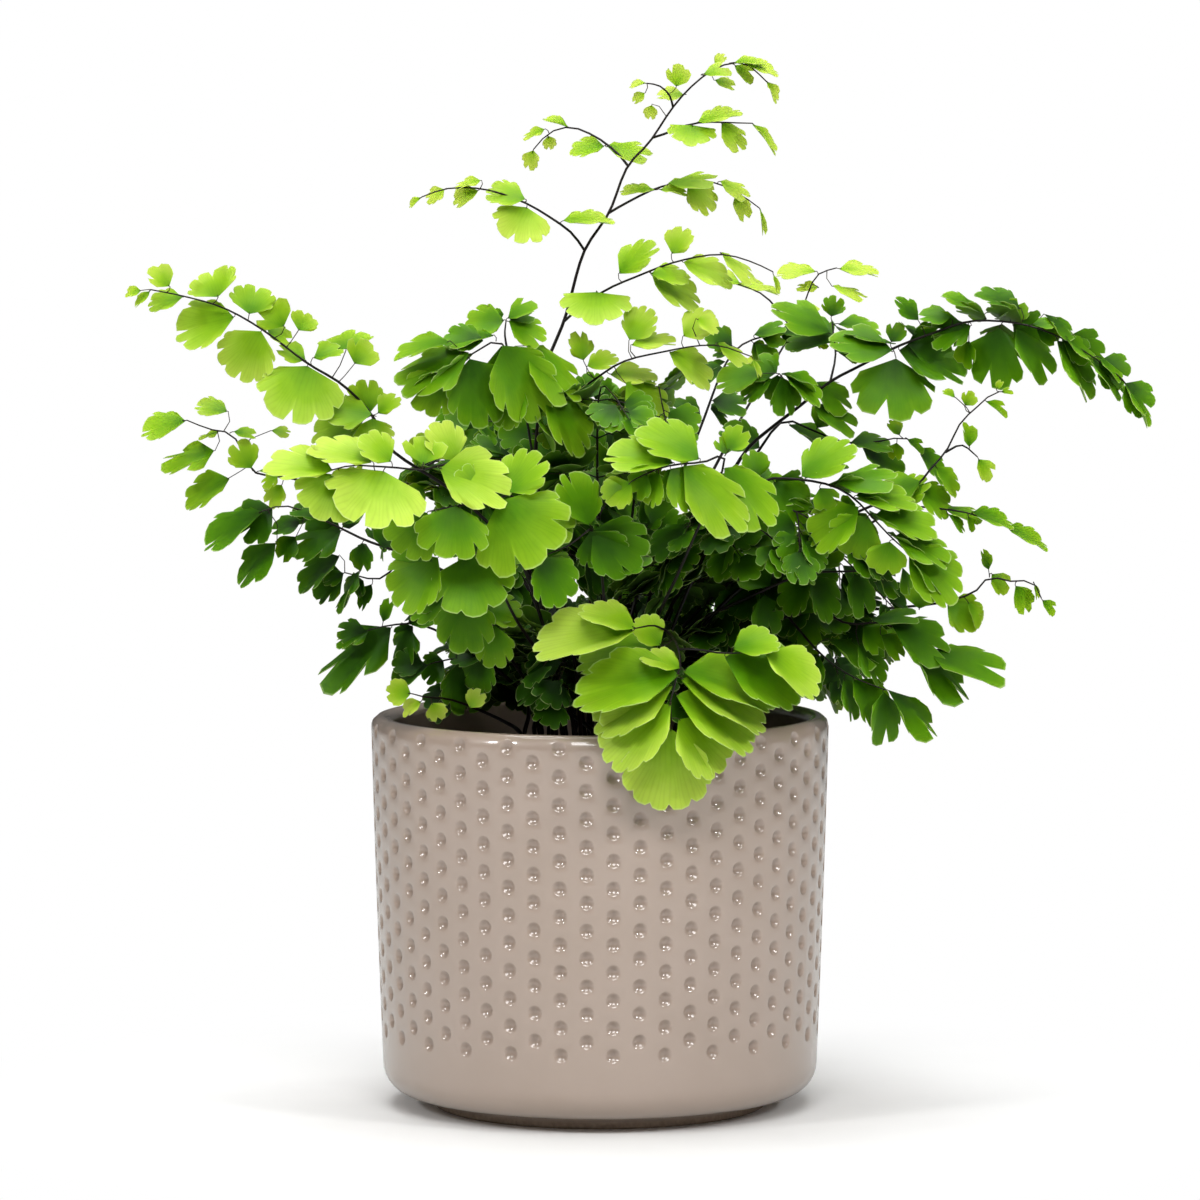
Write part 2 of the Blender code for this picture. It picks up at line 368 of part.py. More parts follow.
def tube_solid(points, radius):
    verts, faces = [], []
    for i, p in enumerate(points):
        f = (points[min(i + 1, len(points) - 1)] - points[max(i - 1, 0)]).normalized()
        u = f.orthogonal().normalized()
        v = f.cross(u)
        verts += [p + u * radius, p + v * radius, p - u * radius, p - v * radius]
    for i in range(len(points) - 1):
        for j in range(4):
            a, b = 4 * i + j, 4 * i + (j + 1) % 4
            faces.append((a, b, b + 4, a + 4))
    faces += [(3, 2, 1, 0), tuple(4 * (len(points) - 1) + j for j in range(4))]
    return verts, faces


class Thicket:
    """What is already in place, for clash tests."""

    def __init__(self):
        self.groups, self.trees = {}, {}

    def add(self, name, solid):
        self.groups.setdefault(name, []).append(solid)
        self.trees.pop(name, None)

    def tree(self, name):
        if name not in self.trees:
            verts, faces = [], []
            for vs, fs in self.groups[name]:
                base = len(verts)
                verts += vs
                faces += [tuple(base + i for i in f) for f in fs]
            low = Vector([min(v[i] for v in verts) for i in range(3)])
            high = Vector([max(v[i] for v in verts) for i in range(3)])
            self.trees[name] = (BVHTree.FromPolygons(verts, faces), low, high)
        return self.trees[name]

    def clear(self, solid, skip=(), only=None):
        verts, faces = solid
        low = [min(v[i] for v in verts) for i in range(3)]
        high = [max(v[i] for v in verts) for i in range(3)]
        mine = BVHTree.FromPolygons(verts, faces)
        for name in self.groups:
            if name in skip or (only and name != only):
                continue
            tree, a, b = self.tree(name)
            if any(low[i] > b[i] or high[i] < a[i] for i in range(3)):
                continue
            if mine.overlap(tree):
                return False
        return True


class Frond:
    def __init__(self, name):
        self.name = name
        self.paths = []  # (Path, parent index or None, distance along the parent)
        self.leaves = []  # (path index, distance along it, Leaf, cluster)


def turned_profile(profile, sides):
    verts, rings = [], []
    for r, z in profile:
        if r == 0.0:
            rings.append([len(verts)])
            verts.append(Vector((0, 0, z * MM)))
        else:
            rings.append(list(range(len(verts), len(verts) + sides)))
            verts += [Vector((r * MM * math.cos(2 * math.pi * i / sides), r * MM * math.sin(2 * math.pi * i / sides), z * MM))
                      for i in range(sides)]
    faces = []
    for a, b in zip(rings, rings[1:]):
        for i in range(sides):
            j = (i + 1) % sides
            if len(a) == 1:
                faces.append((a[0], b[j], b[i]))
            elif len(b) == 1:
                faces.append((a[i], a[j], b[0]))
            else:
                faces.append((a[i], a[j], b[j], b[i]))
    return verts, faces


def pot_profile():
    return POT_OUTER + POT_INNER


def inner_radius(z):
    wall = [(r, h) for r, h in POT_INNER if r > 0]
    for (r0, h0), (r1, h1) in zip(wall, wall[1:]):
        if h1 <= z <= h0:
            return r1 + (r0 - r1) * (z - h1) / (h0 - h1)
    return wall[-1][0]


def mix_profile():
    shy = GAP / MM + 0.15  # the flats of two turned shapes come closer than their corners
    low = [(r - shy, h + shy) for r, h in POT_INNER if 0 < r and h < MIX_TOP_EDGE - 2]
    side = [(inner_radius(MIX_TOP_EDGE) - shy, MIX_TOP_EDGE)] + low
    return [(0.0, 11.0 + shy)] + [(r, h) for r, h in reversed(side)] + [(CROWN_R + 4, MIX_TOP), (0.0, MIX_TOP)]


def crown_profile():
    base = MIX_TOP + GAP / MM
    rings = [(CROWN_R * t, base + CROWN_H * (1 - t * t)) for t in (0.96, 0.78, 0.55, 0.3)]
    return [(0.0, base), (CROWN_R * 0.97, base)] + rings + [(0.0, base + CROWN_H)]


def outline_at(z):
    rows = OUTLINE
    if z <= rows[0][0]:
        return rows[0][1], rows[0][2]
    for (z0, a0, b0), (z1, a1, b1) in zip(rows, rows[1:]):
        if z <= z1:
            t = (z - z0) / (z1 - z0)
            return a0 + (a1 - a0) * t, b0 + (b1 - b0) * t
    return None


def inside_outline(p):
    """True where the filling fronds may reach, on the front elevation."""
    k = (p.y - SIGHT.y) / -SIGHT.y
    x, z = p.x / k / MM, (SIGHT.z + (p.z - SIGHT.z) / k) / MM
    span = outline_at(z)
    return span is not None and span[0] <= x <= span[1] and (p.y > 0.02 or z > 124)


def rooted(points, seats, rank=0):
    """Adds the free root seat that suits the stem (or a later choice), and a first upright stretch."""
    want = Vector((points[0].x, points[0].y, 0)) * 0.55
    if want.length > 0.021:
        want *= 0.021 / want.length
    seat = sorted(seats, key=lambda s: (s - want).length)[rank]
    seats.remove(seat)
    r = seat.length
    foot = Vector((seat.x, seat.y, crown_height(r)))
    slope = 2 * CROWN_H * MM * r / (CROWN_R * MM) ** 2
    out = Vector((seat.x, seat.y, 0)).normalized() if r > 1e-6 else Vector((0, 0, 0))
    rise = (Vector((0, 0, 1)) + out * slope).normalized()
    foot += rise * GAP
    lift = foot + rise * 0.007
    return [foot, lift] + points


def grow():
    """Lays out every frond, each clear of all that is in place before it."""
    rng = random.Random(FILL_SEED)
    thicket = Thicket()
    for name, profile in (("pot", pot_profile()), ("mix", mix_profile())):
        thicket.add(name, turned_profile(profile, 32))
    seats = []
    for i in range(52):
        r = 0.0245 * math.sqrt((i + 0.5) / 52)
        a = i * 2.399963
        seats.append(Vector((r * math.cos(a), r * math.sin(a), 0)))
    fronds = []

    def stem_ok(path, name):
        pts = [path.point(s * path.length / 40) for s in range(2, 41)]
        return thicket.clear(tube_solid(pts, 0.0017), skip=(name,))

    # stems and side branches of the fronds that are laid out one by one
    for name, (stem, limbs, _) in FRONDS.items():
        frond = Frond(name)
        points = [place(x, z, y)[0] for x, z, y in stem]
        for trial in range(100):
            bend = Vector((math.cos(trial * 2.4), math.sin(trial * 2.4), 0)) * (0.0006 * (trial % 20))
            free = list(seats)
            path = Path(rooted([p + bend * (1.0, 0.5, 0.2, 0.0)[min(i, 3)] for i, p in enumerate(points)],
                               free, trial // 20))
            if stem_ok(path, name):
                break
        else:
            print("stem clash:", name)
        seats[:] = free
        frond.paths.append((path, None, 0.0))
        thicket.add(name, tube_solid([path.point(s * path.length / 40) for s in range(41)], 0.0012))
        for limb in limbs:
            pts = [place(x, z, y)[0] for x, z, y in limb]
            gap, s = path.nearest(pts[0], 0.02)
            for trial in range(30):
                bend = Vector((0, math.cos(trial * 2.4), math.sin(trial * 2.4) * 0.4)) * (0.0006 * trial)
                limb_path = Path([path.point(s)] + [p + bend for p in pts[1:]])
                run = [limb_path.point(k * limb_path.length / 16) for k in range(17)]
                if thicket.clear(tube_solid(run, 0.0013), skip=(name,)):
                    break
            else:
                print("limb clash:", name)
            frond.paths.append((limb_path, 0, s))
            thicket.add(name, tube_solid(run, 0.0009))
        fronds.append(frond)

    # stems of the filling fronds
    for i in range(FILL_COUNT):
        name = "fill_%02d" % (i + 1)
        tier = i % 4
        for trial in range(60):
            around = i * 2.399963 + 0.6 + rng.uniform(-0.25, 0.25)
            reach = (rng.uniform(40, 62), rng.uniform(76, 102), rng.uniform(64, 96), rng.uniform(38, 70))[tier] * MM
            top = (rng.uniform(136, 152), rng.uniform(144, 160), rng.uniform(174, 200), rng.uniform(208, 226))[tier] * MM
            drop = (rng.uniform(2, 8), rng.uniform(8, 22), rng.uniform(6, 20), rng.uniform(2, 10))[tier] * MM
            out = Vector((math.cos(around), math.sin(around), 0))
            side = Vector((-out.y, out.x, 0)) * rng.uniform(-0.008, 0.008)
            points = [out * reach * 0.22 + Vector((0, 0, 0.118 + (top - 0.118) * 0.30)),
                      out * reach * 0.48 + side + Vector((0, 0, 0.118 + (top - 0.118) * 0.78)),
                      out * reach * 0.76 + side + Vector((0, 0, top)),
                      out * reach + Vector((0, 0, top - drop))]
            if not inside_outline(points[-1]) or not inside_outline(points[-2]):
                continue
            free = list(seats)
            path = Path(rooted(points, free))
            if stem_ok(path, name):
                seats[:] = free
                frond = Frond(name)
                frond.paths.append((path, None, 0.0))
                thicket.add(name, tube_solid([path.point(s * path.length / 40) for s in range(41)], 0.0012))
                fronds.append(frond)
                break
        else:
            print("no room for", name)

    def try_leaf(frond, index, s, leaf, tries, cluster=0, fits=None):
        path = frond.paths[index][0]
        root = path.point(s)
        for lean, roll, scale, nearer in tries:
            trial = leaf.turned(lean, roll, scale, nearer)
            if fits and not all(fits(p) for p in trial.outline(4)):
                continue
            near = (trial.base - root).length < LONG_STALK * MM
            if not thicket.clear(trial.solid(0.00072, 0.0003, 0.0, root if near else None), skip=(frond.name,)):
                continue
            if not thicket.clear(trial.solid(0.00072, 0.0003, 0.0032), only=frond.name):
                continue
            if not near:
                run = [root.lerp(trial.base, t) for t in (0.0, 0.35, 0.7, 1.0)]
                if not thicket.clear(tube_solid(run, 0.0009), skip=(frond.name,)):
                    continue
                if not thicket.clear(tube_solid(run[1:], 0.0009), only=frond.name):
                    continue
                thicket.add(frond.name, tube_solid(run, 0.0006))
            thicket.add(frond.name, trial.solid(0.0004, 0.0, 0.0, root if near else None))
            frond.leaves.append((index, s, trial, cluster))
            return True
        return False

    tilts = [(0, 0)] + [(a * q, b * q) for a, b in ((7, 0), (0, 9), (14, 0), (0, 18), (12, 12), (12, -12), (22, 0), (0, 28))
                        for q in (1, -1)]
    tries = [(a, b, f, n) for f in (1, 0.9, 0.75) for n in (0, 2, -2, 4, -4, 7, -7) for a, b in tilts]
    kept = lost = 0
    for frond in fronds:
        if frond.name not in FRONDS:
            continue
        for entry in sorted(FRONDS[frond.name][2], key=lambda e: -e[3] * e[4]):
            flat = []
            for index, (path, _, _) in enumerate(frond.paths):
                start = path.length * 0.3 if index == 0 else 0.001
                for step in range(0, 61):
                    s = start + (path.length - start) * step / 60
                    p = path.point(s)
                    k = (p.y - SIGHT.y) / -SIGHT.y
                    x, z = p.x / k / MM, (SIGHT.z + (p.z - SIGHT.z) / k) / MM
                    flat.append((math.hypot(x - entry[0], z - entry[1]), index, s, p.y / MM))
            _, index, s, depth = min(flat)
            leaf = front_leaf(entry, depth)
            if try_leaf(frond, index, s, leaf, tries):
                kept += 1
            else:
                lost += 1
                print("left out:", frond.name, entry)

    fill_tries = [(a * q, b * q, f, 0) for f in (1, 0.85, 0.7, 0.55)
                  for a, b in ((0, 0), (12, 0), (0, 14), (22, 12), (22, -12), (34, 0), (0, 30)) for q in (1, -1)]
    filled = 0
    for frond in fronds:
        if frond.name in FRONDS:
            continue
        path = frond.paths[0][0]
        stations = 5
        for j in range(stations + 1):
            t = 0.46 + 0.50 * j / stations
            s = path.length * (t if j < stations else 1.0)
            f = path.ahead(min(s, path.length - 0.001))
            up = (Vector((0, 0, 1)) - f * f.z)
            up = (up + Vector((0, -0.25, 0))).normalized()
            left = up.cross(f).normalized()
            size = (23 - 7.0 * j / stations) * MM
            for turn in ((0.0,) if j == stations else (62.0, -62.0)):
                a = math.radians(turn + rng.uniform(-10, 10))
                ahead = f * math.cos(a) + left * math.sin(a) + Vector((0, 0, rng.uniform(-0.30, 0.05)))
                across = up.cross(ahead).normalized()
                base = path.point(s) + ahead.normalized() * (0.0025 if j < stations else 0.0)
                leaf = Leaf(base, ahead, across, size * rng.uniform(0.9, 1.1), size * rng.uniform(0.95, 1.15))
                leaf.across = (leaf.across - leaf.ahead * leaf.across.dot(leaf.ahead)).normalized()
                if try_leaf(frond, 0, s, leaf, fill_tries, 1, inside_outline):
                    filled += 1
    print("leaves set:", kept, "left out:", lost, "filling:", filled, "fronds:", len(fronds))
    return [f for f in fronds if f.leaves]


# ---------------------------------------------------------------- one closed solid for each frond
class Shell:
    """A closed surface grown ring by ring; a ring is left top, left bottom, right bottom, right top."""

    def __init__(self):
        self.verts, self.faces = [], []

    def ring(self, p, ahead, up, width, depth):
        up = (up - ahead * up.dot(ahead)).normalized()
        left = up.cross(ahead).normalized()
        base = len(self.verts)
        self.verts += [p + left * width / 2 + up * depth / 2, p + left * width / 2 - up * depth / 2,
                       p - left * width / 2 - up * depth / 2, p - left * width / 2 + up * depth / 2]
        return (base, base + 1, base + 2, base + 3)

    def facing(self, ring, up):
        """The same ring, named so that its top is the side that looks most along up."""
        def looks(r):
            v = self.verts
            return ((v[r[0]] + v[r[3]]) - (v[r[1]] + v[r[2]])).normalized().dot(up)
        return max([ring[i:] + ring[:i] for i in range(4)], key=looks)

    def band(self, a, b, open_sides=()):
        """The four faces between two rings; sides are 0 top, 1 left, 2 bottom, 3 right."""
        self.faces += [(a[k - 1], b[k - 1], b[k], a[k]) for k in range(4) if k not in open_sides]

    def looks_along(self, ring):
        """The direction that a ring opens towards."""
        lt, lb, rb, rt = (self.verts[i] for i in ring)
        return (lt - rb).cross(rt - lb).normalized()

    def fan(self, ring, leaf, count, half):
        up = leaf.up()
        ring = self.facing(ring, up)
        left = up.cross(leaf.ahead)
        outer = sorted(leaf.outline(count), key=lambda p: -(p - leaf.base).dot(left))
        top = [self.add(p + up * half) for p in outer]
        low = [self.add(p - up * half) for p in outer]
        chain_t = [ring[3]] + top[::-1] + [ring[0]]
        chain_l = [ring[2]] + low[::-1] + [ring[1]]
        for i in range(1, len(chain_t) - 1):
            self.faces.append((chain_t[-1], chain_t[i - 1], chain_t[i]))
            self.faces.append((chain_l[-1], chain_l[i], chain_l[i - 1]))
        for i in range(len(chain_t) - 1):
            self.faces.append((chain_l[i], chain_l[i + 1], chain_t[i + 1], chain_t[i]))

    def add(self, p):
        self.verts.append(p)
        return len(self.verts) - 1


def mouth(a, b, side):
    """The ring where a leaf or a branch starts, on one side of the band from a to b."""
    return (a[side], b[side], b[side - 1], a[side - 1])


def best_side(ahead, up, way):
    """The side of a stalk that looks most along a direction."""
    left = up.cross(ahead)
    return max(range(4), key=lambda k: (up, left, -up, -left)[k].dot(way))


def frond_solid(frond, fine):
    """The frond's surface; fine sets how closely the rings follow the bends."""
    shell = Shell()

    def run(index, first, start_up):
        path = frond.paths[index][0]
        length = path.length
        thick = (STEM if index == 0 else 1.15) * MM
        ends = (1.0 if index == 0 else TWIG) * MM
        items = []
        for i, (p, parent, s) in enumerate(frond.paths):
            if parent == index:
                items.append([s, "limb", i])
        tip = None
        for i, (owner, s, leaf, _) in enumerate(frond.leaves):
            if owner != index:
                continue
            if s > length - 0.0026 and tip is None:
                tip = i
            else:
                items.append([s, "leaf", i])
        if tip is not None:
            rivals = [it for it in items if it[1] == "leaf" and it[0] > length - 0.0026]
            for it in rivals:
                it[0] = min(it[0], length - 0.0026)
        items.sort(key=lambda it: it[0])
        half = MOUTH * MM / 2
        grain = 0.0005
        ups = [start_up]
        for k in range(int(length / grain) + 2):
            f = path.ahead(k * grain)
            u = ups[-1] - f * ups[-1].dot(f)
            ups.append((u if u.length > 0.05 else f.orthogonal()).normalized())

        def up_at(s):
            return ups[1 + int(s / grain)]

        slots = []  # centre, {side: item}
        floor_s = (0.006 if index == 0 else 0.0032)
        last = floor_s
        for s, kind, i in items:
            if kind == "limb":
                target = frond.paths[i][0].point(0.006)
            else:
                leaf = frond.leaves[i][2]
                far = (leaf.base - path.point(s)).length > 0.0024
                target = leaf.base if far else leaf.base + leaf.ahead * 0.004
            side = best_side(path.ahead(s), up_at(s), target - path.point(s))
            if slots and abs(s - slots[-1][0]) < SHARE * MM and list(slots[-1][1]) == [(side + 2) % 4]:
                slots[-1][1][side] = (kind, i)
            else:
                centre = max(s, (slots[-1][0] + 2 * half + 0.0006) if slots else floor_s + half)
                slots.append([centre, {side: (kind, i)}])
        over = slots[-1][0] + half + 0.0005 - length if slots else 0
        if over > 0:  # packed too close to the tip: slide them back
            limit = length - half - 0.0005
            for slot in reversed(slots):
                slot[0] = min(slot[0], limit)
                limit = slot[0] - 2 * half - 0.0006

        stops = [(c - half, c + half, sides) for c, sides in slots]
        marks = []  # (s, sides for the band that starts here)
        s = 0.0 if first is None else 0.0022
        spans = []
        here = s
        for a, b, sides in stops:
            spans.append((here, a, None))
            spans.append((a, b, sides))
            here = b
        spans.append((here, length, None))
        ring, up = None, start_up
        if first is None:
            ahead0 = (path.point(0.002) - path.point(0.0)).normalized()
            ring = shell.ring(path.point(0.0), ahead0, up, thick, thick)
            shell.faces.append(ring)
        else:
            up = up_at(0.0022)
            ring = shell.facing(first, up)
            nxt = shell.ring(path.point(0.0022), path.ahead(0.0022), up, thick * 0.9, thick * 0.9)
            shell.band(ring, nxt)
            ring = nxt
        pending = []
        for a, b, sides in spans:
            if sides is None:
                # enough rings to follow the bend
                bend = 0.0
                steps = 1
                if b - a > 0.004:
                    angle = path.ahead(a).angle(path.ahead(b), 0.0)
                    mid = path.ahead((a + b) / 2)
                    angle = max(angle, path.ahead(a).angle(mid, 0.0) + mid.angle(path.ahead(b), 0.0))
                    steps = max(1, min(6 * fine, int(fine * (math.degrees(angle) / 14 + (b - a) / 0.030)) + 1))
                elif b - a < 0.0003:
                    continue
                for k in range(1, steps + 1):
                    s = a + (b - a) * k / steps
                    up = up_at(s)
                    w = thick + (ends - thick) * s / length
                    nxt = shell.ring(path.point(s), path.ahead(s), up, w, w)
                    shell.band(ring, nxt)
                    ring = nxt
            else:
                up = up_at(b)
                w = thick + (ends - thick) * b / length
                nxt = shell.ring(path.point(b), path.ahead(b), up, w, w)
                shell.band(ring, nxt, sides)
                for side, (kind, i) in sides.items():
                    pending.append((mouth(ring, nxt, side), kind, i, up.copy()))
                ring = nxt
        if tip is None:
            shell.faces.append((ring[0], ring[3], ring[2], ring[1]))
        else:
            pending.append((ring, "leaf", tip, up.copy()))
        for start, kind, i, u in pending:
            if kind == "limb":
                run(i, start, u)
                continue
            leaf = frond.leaves[i][2]
            middle = sum((shell.verts[q] for q in start), Vector()) / 4
            stalk = leaf.base - middle
            count = 4 if leaf.width > 0.0085 else 3
            out = shell.looks_along(start)
            bends = []
            if (leaf.base - path.point(frond.leaves[i][1])).length > LONG_STALK * MM:
                if stalk.normalized().dot(out) < 0.5:
                    bends.append((middle + out * 0.0011, (out + stalk.normalized()).normalized()))
                bends.append((leaf.base, (stalk.normalized() + leaf.ahead * 0.8).normalized()))
            else:
                way = (leaf.base + leaf.ahead * (leaf.length * 0.5) - middle).normalized()
                if out.dot(way) < 0.4:
                    bends.append((middle + out * 0.0011 + way * 0.0003, (out + way * 0.9).normalized()))
            for spot, way in bends:
                lu = leaf.up() - way * leaf.up().dot(way)
                if lu.length < 0.3:
                    lu = leaf.across - way * leaf.across.dot(way)
                lu.normalize()
                nxt = shell.ring(spot, way, lu, TWIG * MM, PLATE * MM)
                start = shell.facing(start, lu)
                shell.band(start, nxt)
                start = nxt
            shell.fan(start, leaf, count, PLATE * MM / 2)

    path = frond.paths[0][0]
    ahead = (path.point(0.002) - path.point(0.0)).normalized()
    up = Vector((0, -0.7, 0.7))
    up = (up - ahead * up.dot(ahead)).normalized()
    run(0, None, up)
    return shell.verts, shell.faces


def frond_solids(fronds):
    """Every frond's surface, with more rings on both of two that would touch."""
    fine = [1] * len(fronds)
    for attempt in range(5):
        solids = [frond_solid(frond, n) for frond, n in zip(fronds, fine)]
        trees = [BVHTree.FromPolygons(*solid) for solid in solids]
        touching = [(i, j) for i in range(len(trees)) for j in range(i) if trees[i].overlap(trees[j])]
        if not touching:
            break
        for i in {k for pair in touching for k in pair}:
            fine[i] += 1
    for i, j in touching:
        print("touching:", fronds[i].name, fronds[j].name)
    return solids


# ---------------------------------------------------------------- objects and materials
def linear(hex_colour):
    values = [int(hex_colour[i:i + 2], 16) / 255 for i in (1, 3, 5)]
    return [v / 12.92 if v <= 0.04045 else ((v + 0.055) / 1.055) ** 2.4 for v in values] + [1.0]


def material(name, hex_colour, roughness, metallic=0.0):
    mat = bpy.data.materials.new(name)
    mat.use_nodes = True
    bsdf = mat.node_tree.nodes["Principled BSDF"]
    bsdf.inputs["Base Color"].default_value = linear(hex_colour)
    bsdf.inputs["Roughness"].default_value = roughness
    bsdf.inputs["Metallic"].default_value = metallic
    return mat


def make(name, solid, mat, smooth_shade=True):
    verts, faces = solid
    mesh = bpy.data.meshes.new(name)
    mesh.from_pydata([tuple(v) for v in verts], [], faces)
    bm = bmesh.new()
    bm.from_mesh(mesh)
    bmesh.ops.recalc_face_normals(bm, faces=bm.faces)
    bm.to_mesh(mesh)
    bm.free()
    mesh.materials.append(mat)
    if smooth_shade:
        mesh.shade_smooth()
        mesh.set_sharp_from_angle(angle=math.radians(35))
    obj = bpy.data.objects.new(name, mesh)
    bpy.context.scene.collection.objects.link(obj)
    return obj


fronds = grow()
make("pot", turned_profile(pot_profile(), POT_SIDES), material("taupe glaze", "#BBAA9D", 0.28))
make("soil", turned_profile(mix_profile(), 32), material("potting mix", "#2B1D14", 0.95))
make("rhizome", turned_profile(crown_profile(), 24), material("rootstock", "#3A2417", 0.9))
dark, light = material("mature frond", "#3F7D12", 0.45), material("young frond", "#9CC83A", 0.45)
young = {"tall", "left_long", "spray", "right_bright", "over_rim", "rim_sprout", "front_a", "back_pale"}
for number, (frond, solid) in enumerate(zip(fronds, frond_solids(fronds))):
    make("frond_%02d" % (number + 1), solid, light if frond.name in young else dark, False)
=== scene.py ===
# %% [markdown]
# # A potted maidenhair fern
#
# The object is a young maidenhair fern in a round glazed cover pot. A physical model of it,
# with one plain solid for the pot, the mix, the rootstock and each frond, is loaded first and
# serves as the frame. This lesson then builds what the eye sees in the same coordinates:
# a pot with hundreds of thumbed-in dimples, crumbly mix, wiry black stalks, and more than a
# thousand thin, lobed leaflets. Everything is in metres, and the front faces -Y.

# %% Load the frame and keep its size
import json
import math
import random
from functools import partial

import bmesh
import bpy
import numpy as np
from mathutils import Matrix, Vector
from mathutils.bvhtree import BVHTree

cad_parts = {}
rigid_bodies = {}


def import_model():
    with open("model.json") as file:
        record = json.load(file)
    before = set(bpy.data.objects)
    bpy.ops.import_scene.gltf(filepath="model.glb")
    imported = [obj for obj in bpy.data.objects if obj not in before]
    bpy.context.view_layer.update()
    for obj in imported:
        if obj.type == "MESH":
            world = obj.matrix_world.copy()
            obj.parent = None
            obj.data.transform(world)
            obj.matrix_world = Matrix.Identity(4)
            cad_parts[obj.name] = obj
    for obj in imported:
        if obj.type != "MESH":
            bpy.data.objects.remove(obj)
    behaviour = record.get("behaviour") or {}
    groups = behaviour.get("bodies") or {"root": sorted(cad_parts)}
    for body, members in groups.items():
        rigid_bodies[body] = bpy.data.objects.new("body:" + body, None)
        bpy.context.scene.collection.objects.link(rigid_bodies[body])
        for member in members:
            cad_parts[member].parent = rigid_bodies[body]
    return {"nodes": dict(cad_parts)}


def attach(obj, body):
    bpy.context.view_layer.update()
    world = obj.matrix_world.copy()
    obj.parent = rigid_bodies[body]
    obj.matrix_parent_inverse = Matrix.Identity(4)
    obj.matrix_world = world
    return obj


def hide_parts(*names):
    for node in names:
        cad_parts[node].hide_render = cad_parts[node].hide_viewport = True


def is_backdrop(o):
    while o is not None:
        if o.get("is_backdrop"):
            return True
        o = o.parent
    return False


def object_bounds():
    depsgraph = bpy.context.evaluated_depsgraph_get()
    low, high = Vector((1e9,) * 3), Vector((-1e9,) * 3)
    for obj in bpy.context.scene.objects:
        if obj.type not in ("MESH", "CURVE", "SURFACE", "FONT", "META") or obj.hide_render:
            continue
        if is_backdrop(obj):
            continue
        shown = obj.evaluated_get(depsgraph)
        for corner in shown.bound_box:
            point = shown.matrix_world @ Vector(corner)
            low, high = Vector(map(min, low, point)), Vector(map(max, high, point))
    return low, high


MM = 0.001
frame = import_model()
cad_low, cad_high = [list(corner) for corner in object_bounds()]
sides = [round((b - a) / MM, 1) for a, b in zip(cad_low, cad_high)]
print("frame:", len(frame["nodes"]), "solids,", sides, "mm")

# %% [markdown]
# ## The camera
#
# The plant is seen from a little above the foliage and nearly two metres away, through a long
# lens. A long lens keeps the pot's sides nearly parallel. The camera looks at a point half-way
# up the plant, a few degrees downwards.

# %% Camera
EYE = Vector((0.0, -1.826, 0.296))
AIM = Vector((0.0, 0.0, 0.155))
HALF_VIEW = math.radians(5.72)  # half of the lens's angle of view
FILM = 36.0  # mm

lens_data = bpy.data.cameras.new("long_lens")
lens_data.sensor_width = FILM
lens_data.lens = FILM / 2 / math.tan(HALF_VIEW)
camera = bpy.data.objects.new("camera", lens_data)
camera.location = EYE
camera.rotation_euler = (AIM - EYE).to_track_quat("-Z", "Y").to_euler()
bpy.context.scene.collection.objects.link(camera)
bpy.context.scene.camera = camera
bpy.context.scene.view_settings.view_transform = "Standard"
print("camera:", round(lens_data.lens), "mm lens,", round((AIM - EYE).length, 2), "m away")

# %% [markdown]
# ## Two helpers for every material
#
# Colours are written as the sRGB hex values that a designer would pick. Cycles works in linear
# light, so one function turns them over. Node trees get long quickly, so another function adds
# a node, sets its options and fills its inputs in a single call. A noise has a scale of so many
# grains to a metre, so 1000 divided by the scale is the size of a grain in mm.

# %% Colour and node helpers
NOISE, RAMP, SPLIT = "ShaderNodeTexNoise", "ShaderNodeValToRGB", "ShaderNodeSeparateXYZ"
MAP_RANGE = "ShaderNodeMapRange"
ADD, SUBTRACT, MULTIPLY, DIVIDE, MULTIPLY_ADD, MODULO, FLOOR, POWER, ABSOLUTE, SINE, COSINE, \
    GREATER_THAN, COMPARE = (("ShaderNodeMath", "operation", name) for name in (
        "ADD", "SUBTRACT", "MULTIPLY", "DIVIDE", "MULTIPLY_ADD", "MODULO", "FLOOR", "POWER",
        "ABSOLUTE", "SINE", "COSINE", "GREATER_THAN", "COMPARE"))
MIX_COLOURS, MIX_VALUES = (("ShaderNodeMix", "data_type", name) for name in ("RGBA", "FLOAT"))
FIRST, SECOND, MIXED = 6, 7, 2  # a Mix node's colour inputs and colour output


def linear(hex_colour):
    values = [int(hex_colour[i:i + 2], 16) / 255 for i in (1, 3, 5)]
    return tuple(v / 12.92 if v <= 0.04045 else ((v + 0.055) / 1.055) ** 2.4 for v in values) + (1.0,)


def feed(made, sockets):
    """Fills a node's inputs, given in order or by name or number.

    Each gets a value, another node's output, or a node, whose first output is then meant. A list
    of them goes to an input that takes several.
    """
    for key, value in (sockets if isinstance(sockets, dict) else dict(enumerate(sockets))).items():
        for part in value if isinstance(value, list) else [value]:
            part = part.outputs[0] if isinstance(part, bpy.types.Node) else part
            if isinstance(part, bpy.types.NodeSocket):
                made.id_data.links.new(part, made.inputs[key])
            else:
                made.inputs[key].default_value = part


def node(tree, kind, sockets=(), stops=(), **settings):
    """Adds a node with its settings and inputs; stops are a ramp's positions and hex colours.

    The kind is a type, or a type with the name and value of its first setting.
    """
    if isinstance(kind, tuple):
        kind, settings = kind[0], {kind[1]: kind[2], **settings}
    made = tree.nodes.new(kind)
    for key, value in settings.items():
        setattr(made, key, value)
    feed(made, sockets)
    if stops:
        elements = made.color_ramp.elements
        while len(elements) < len(stops):
            elements.new(0.5)
        for element, (place, colour) in zip(elements, stops):
            element.position = place
            element.color = linear(colour)
    return made


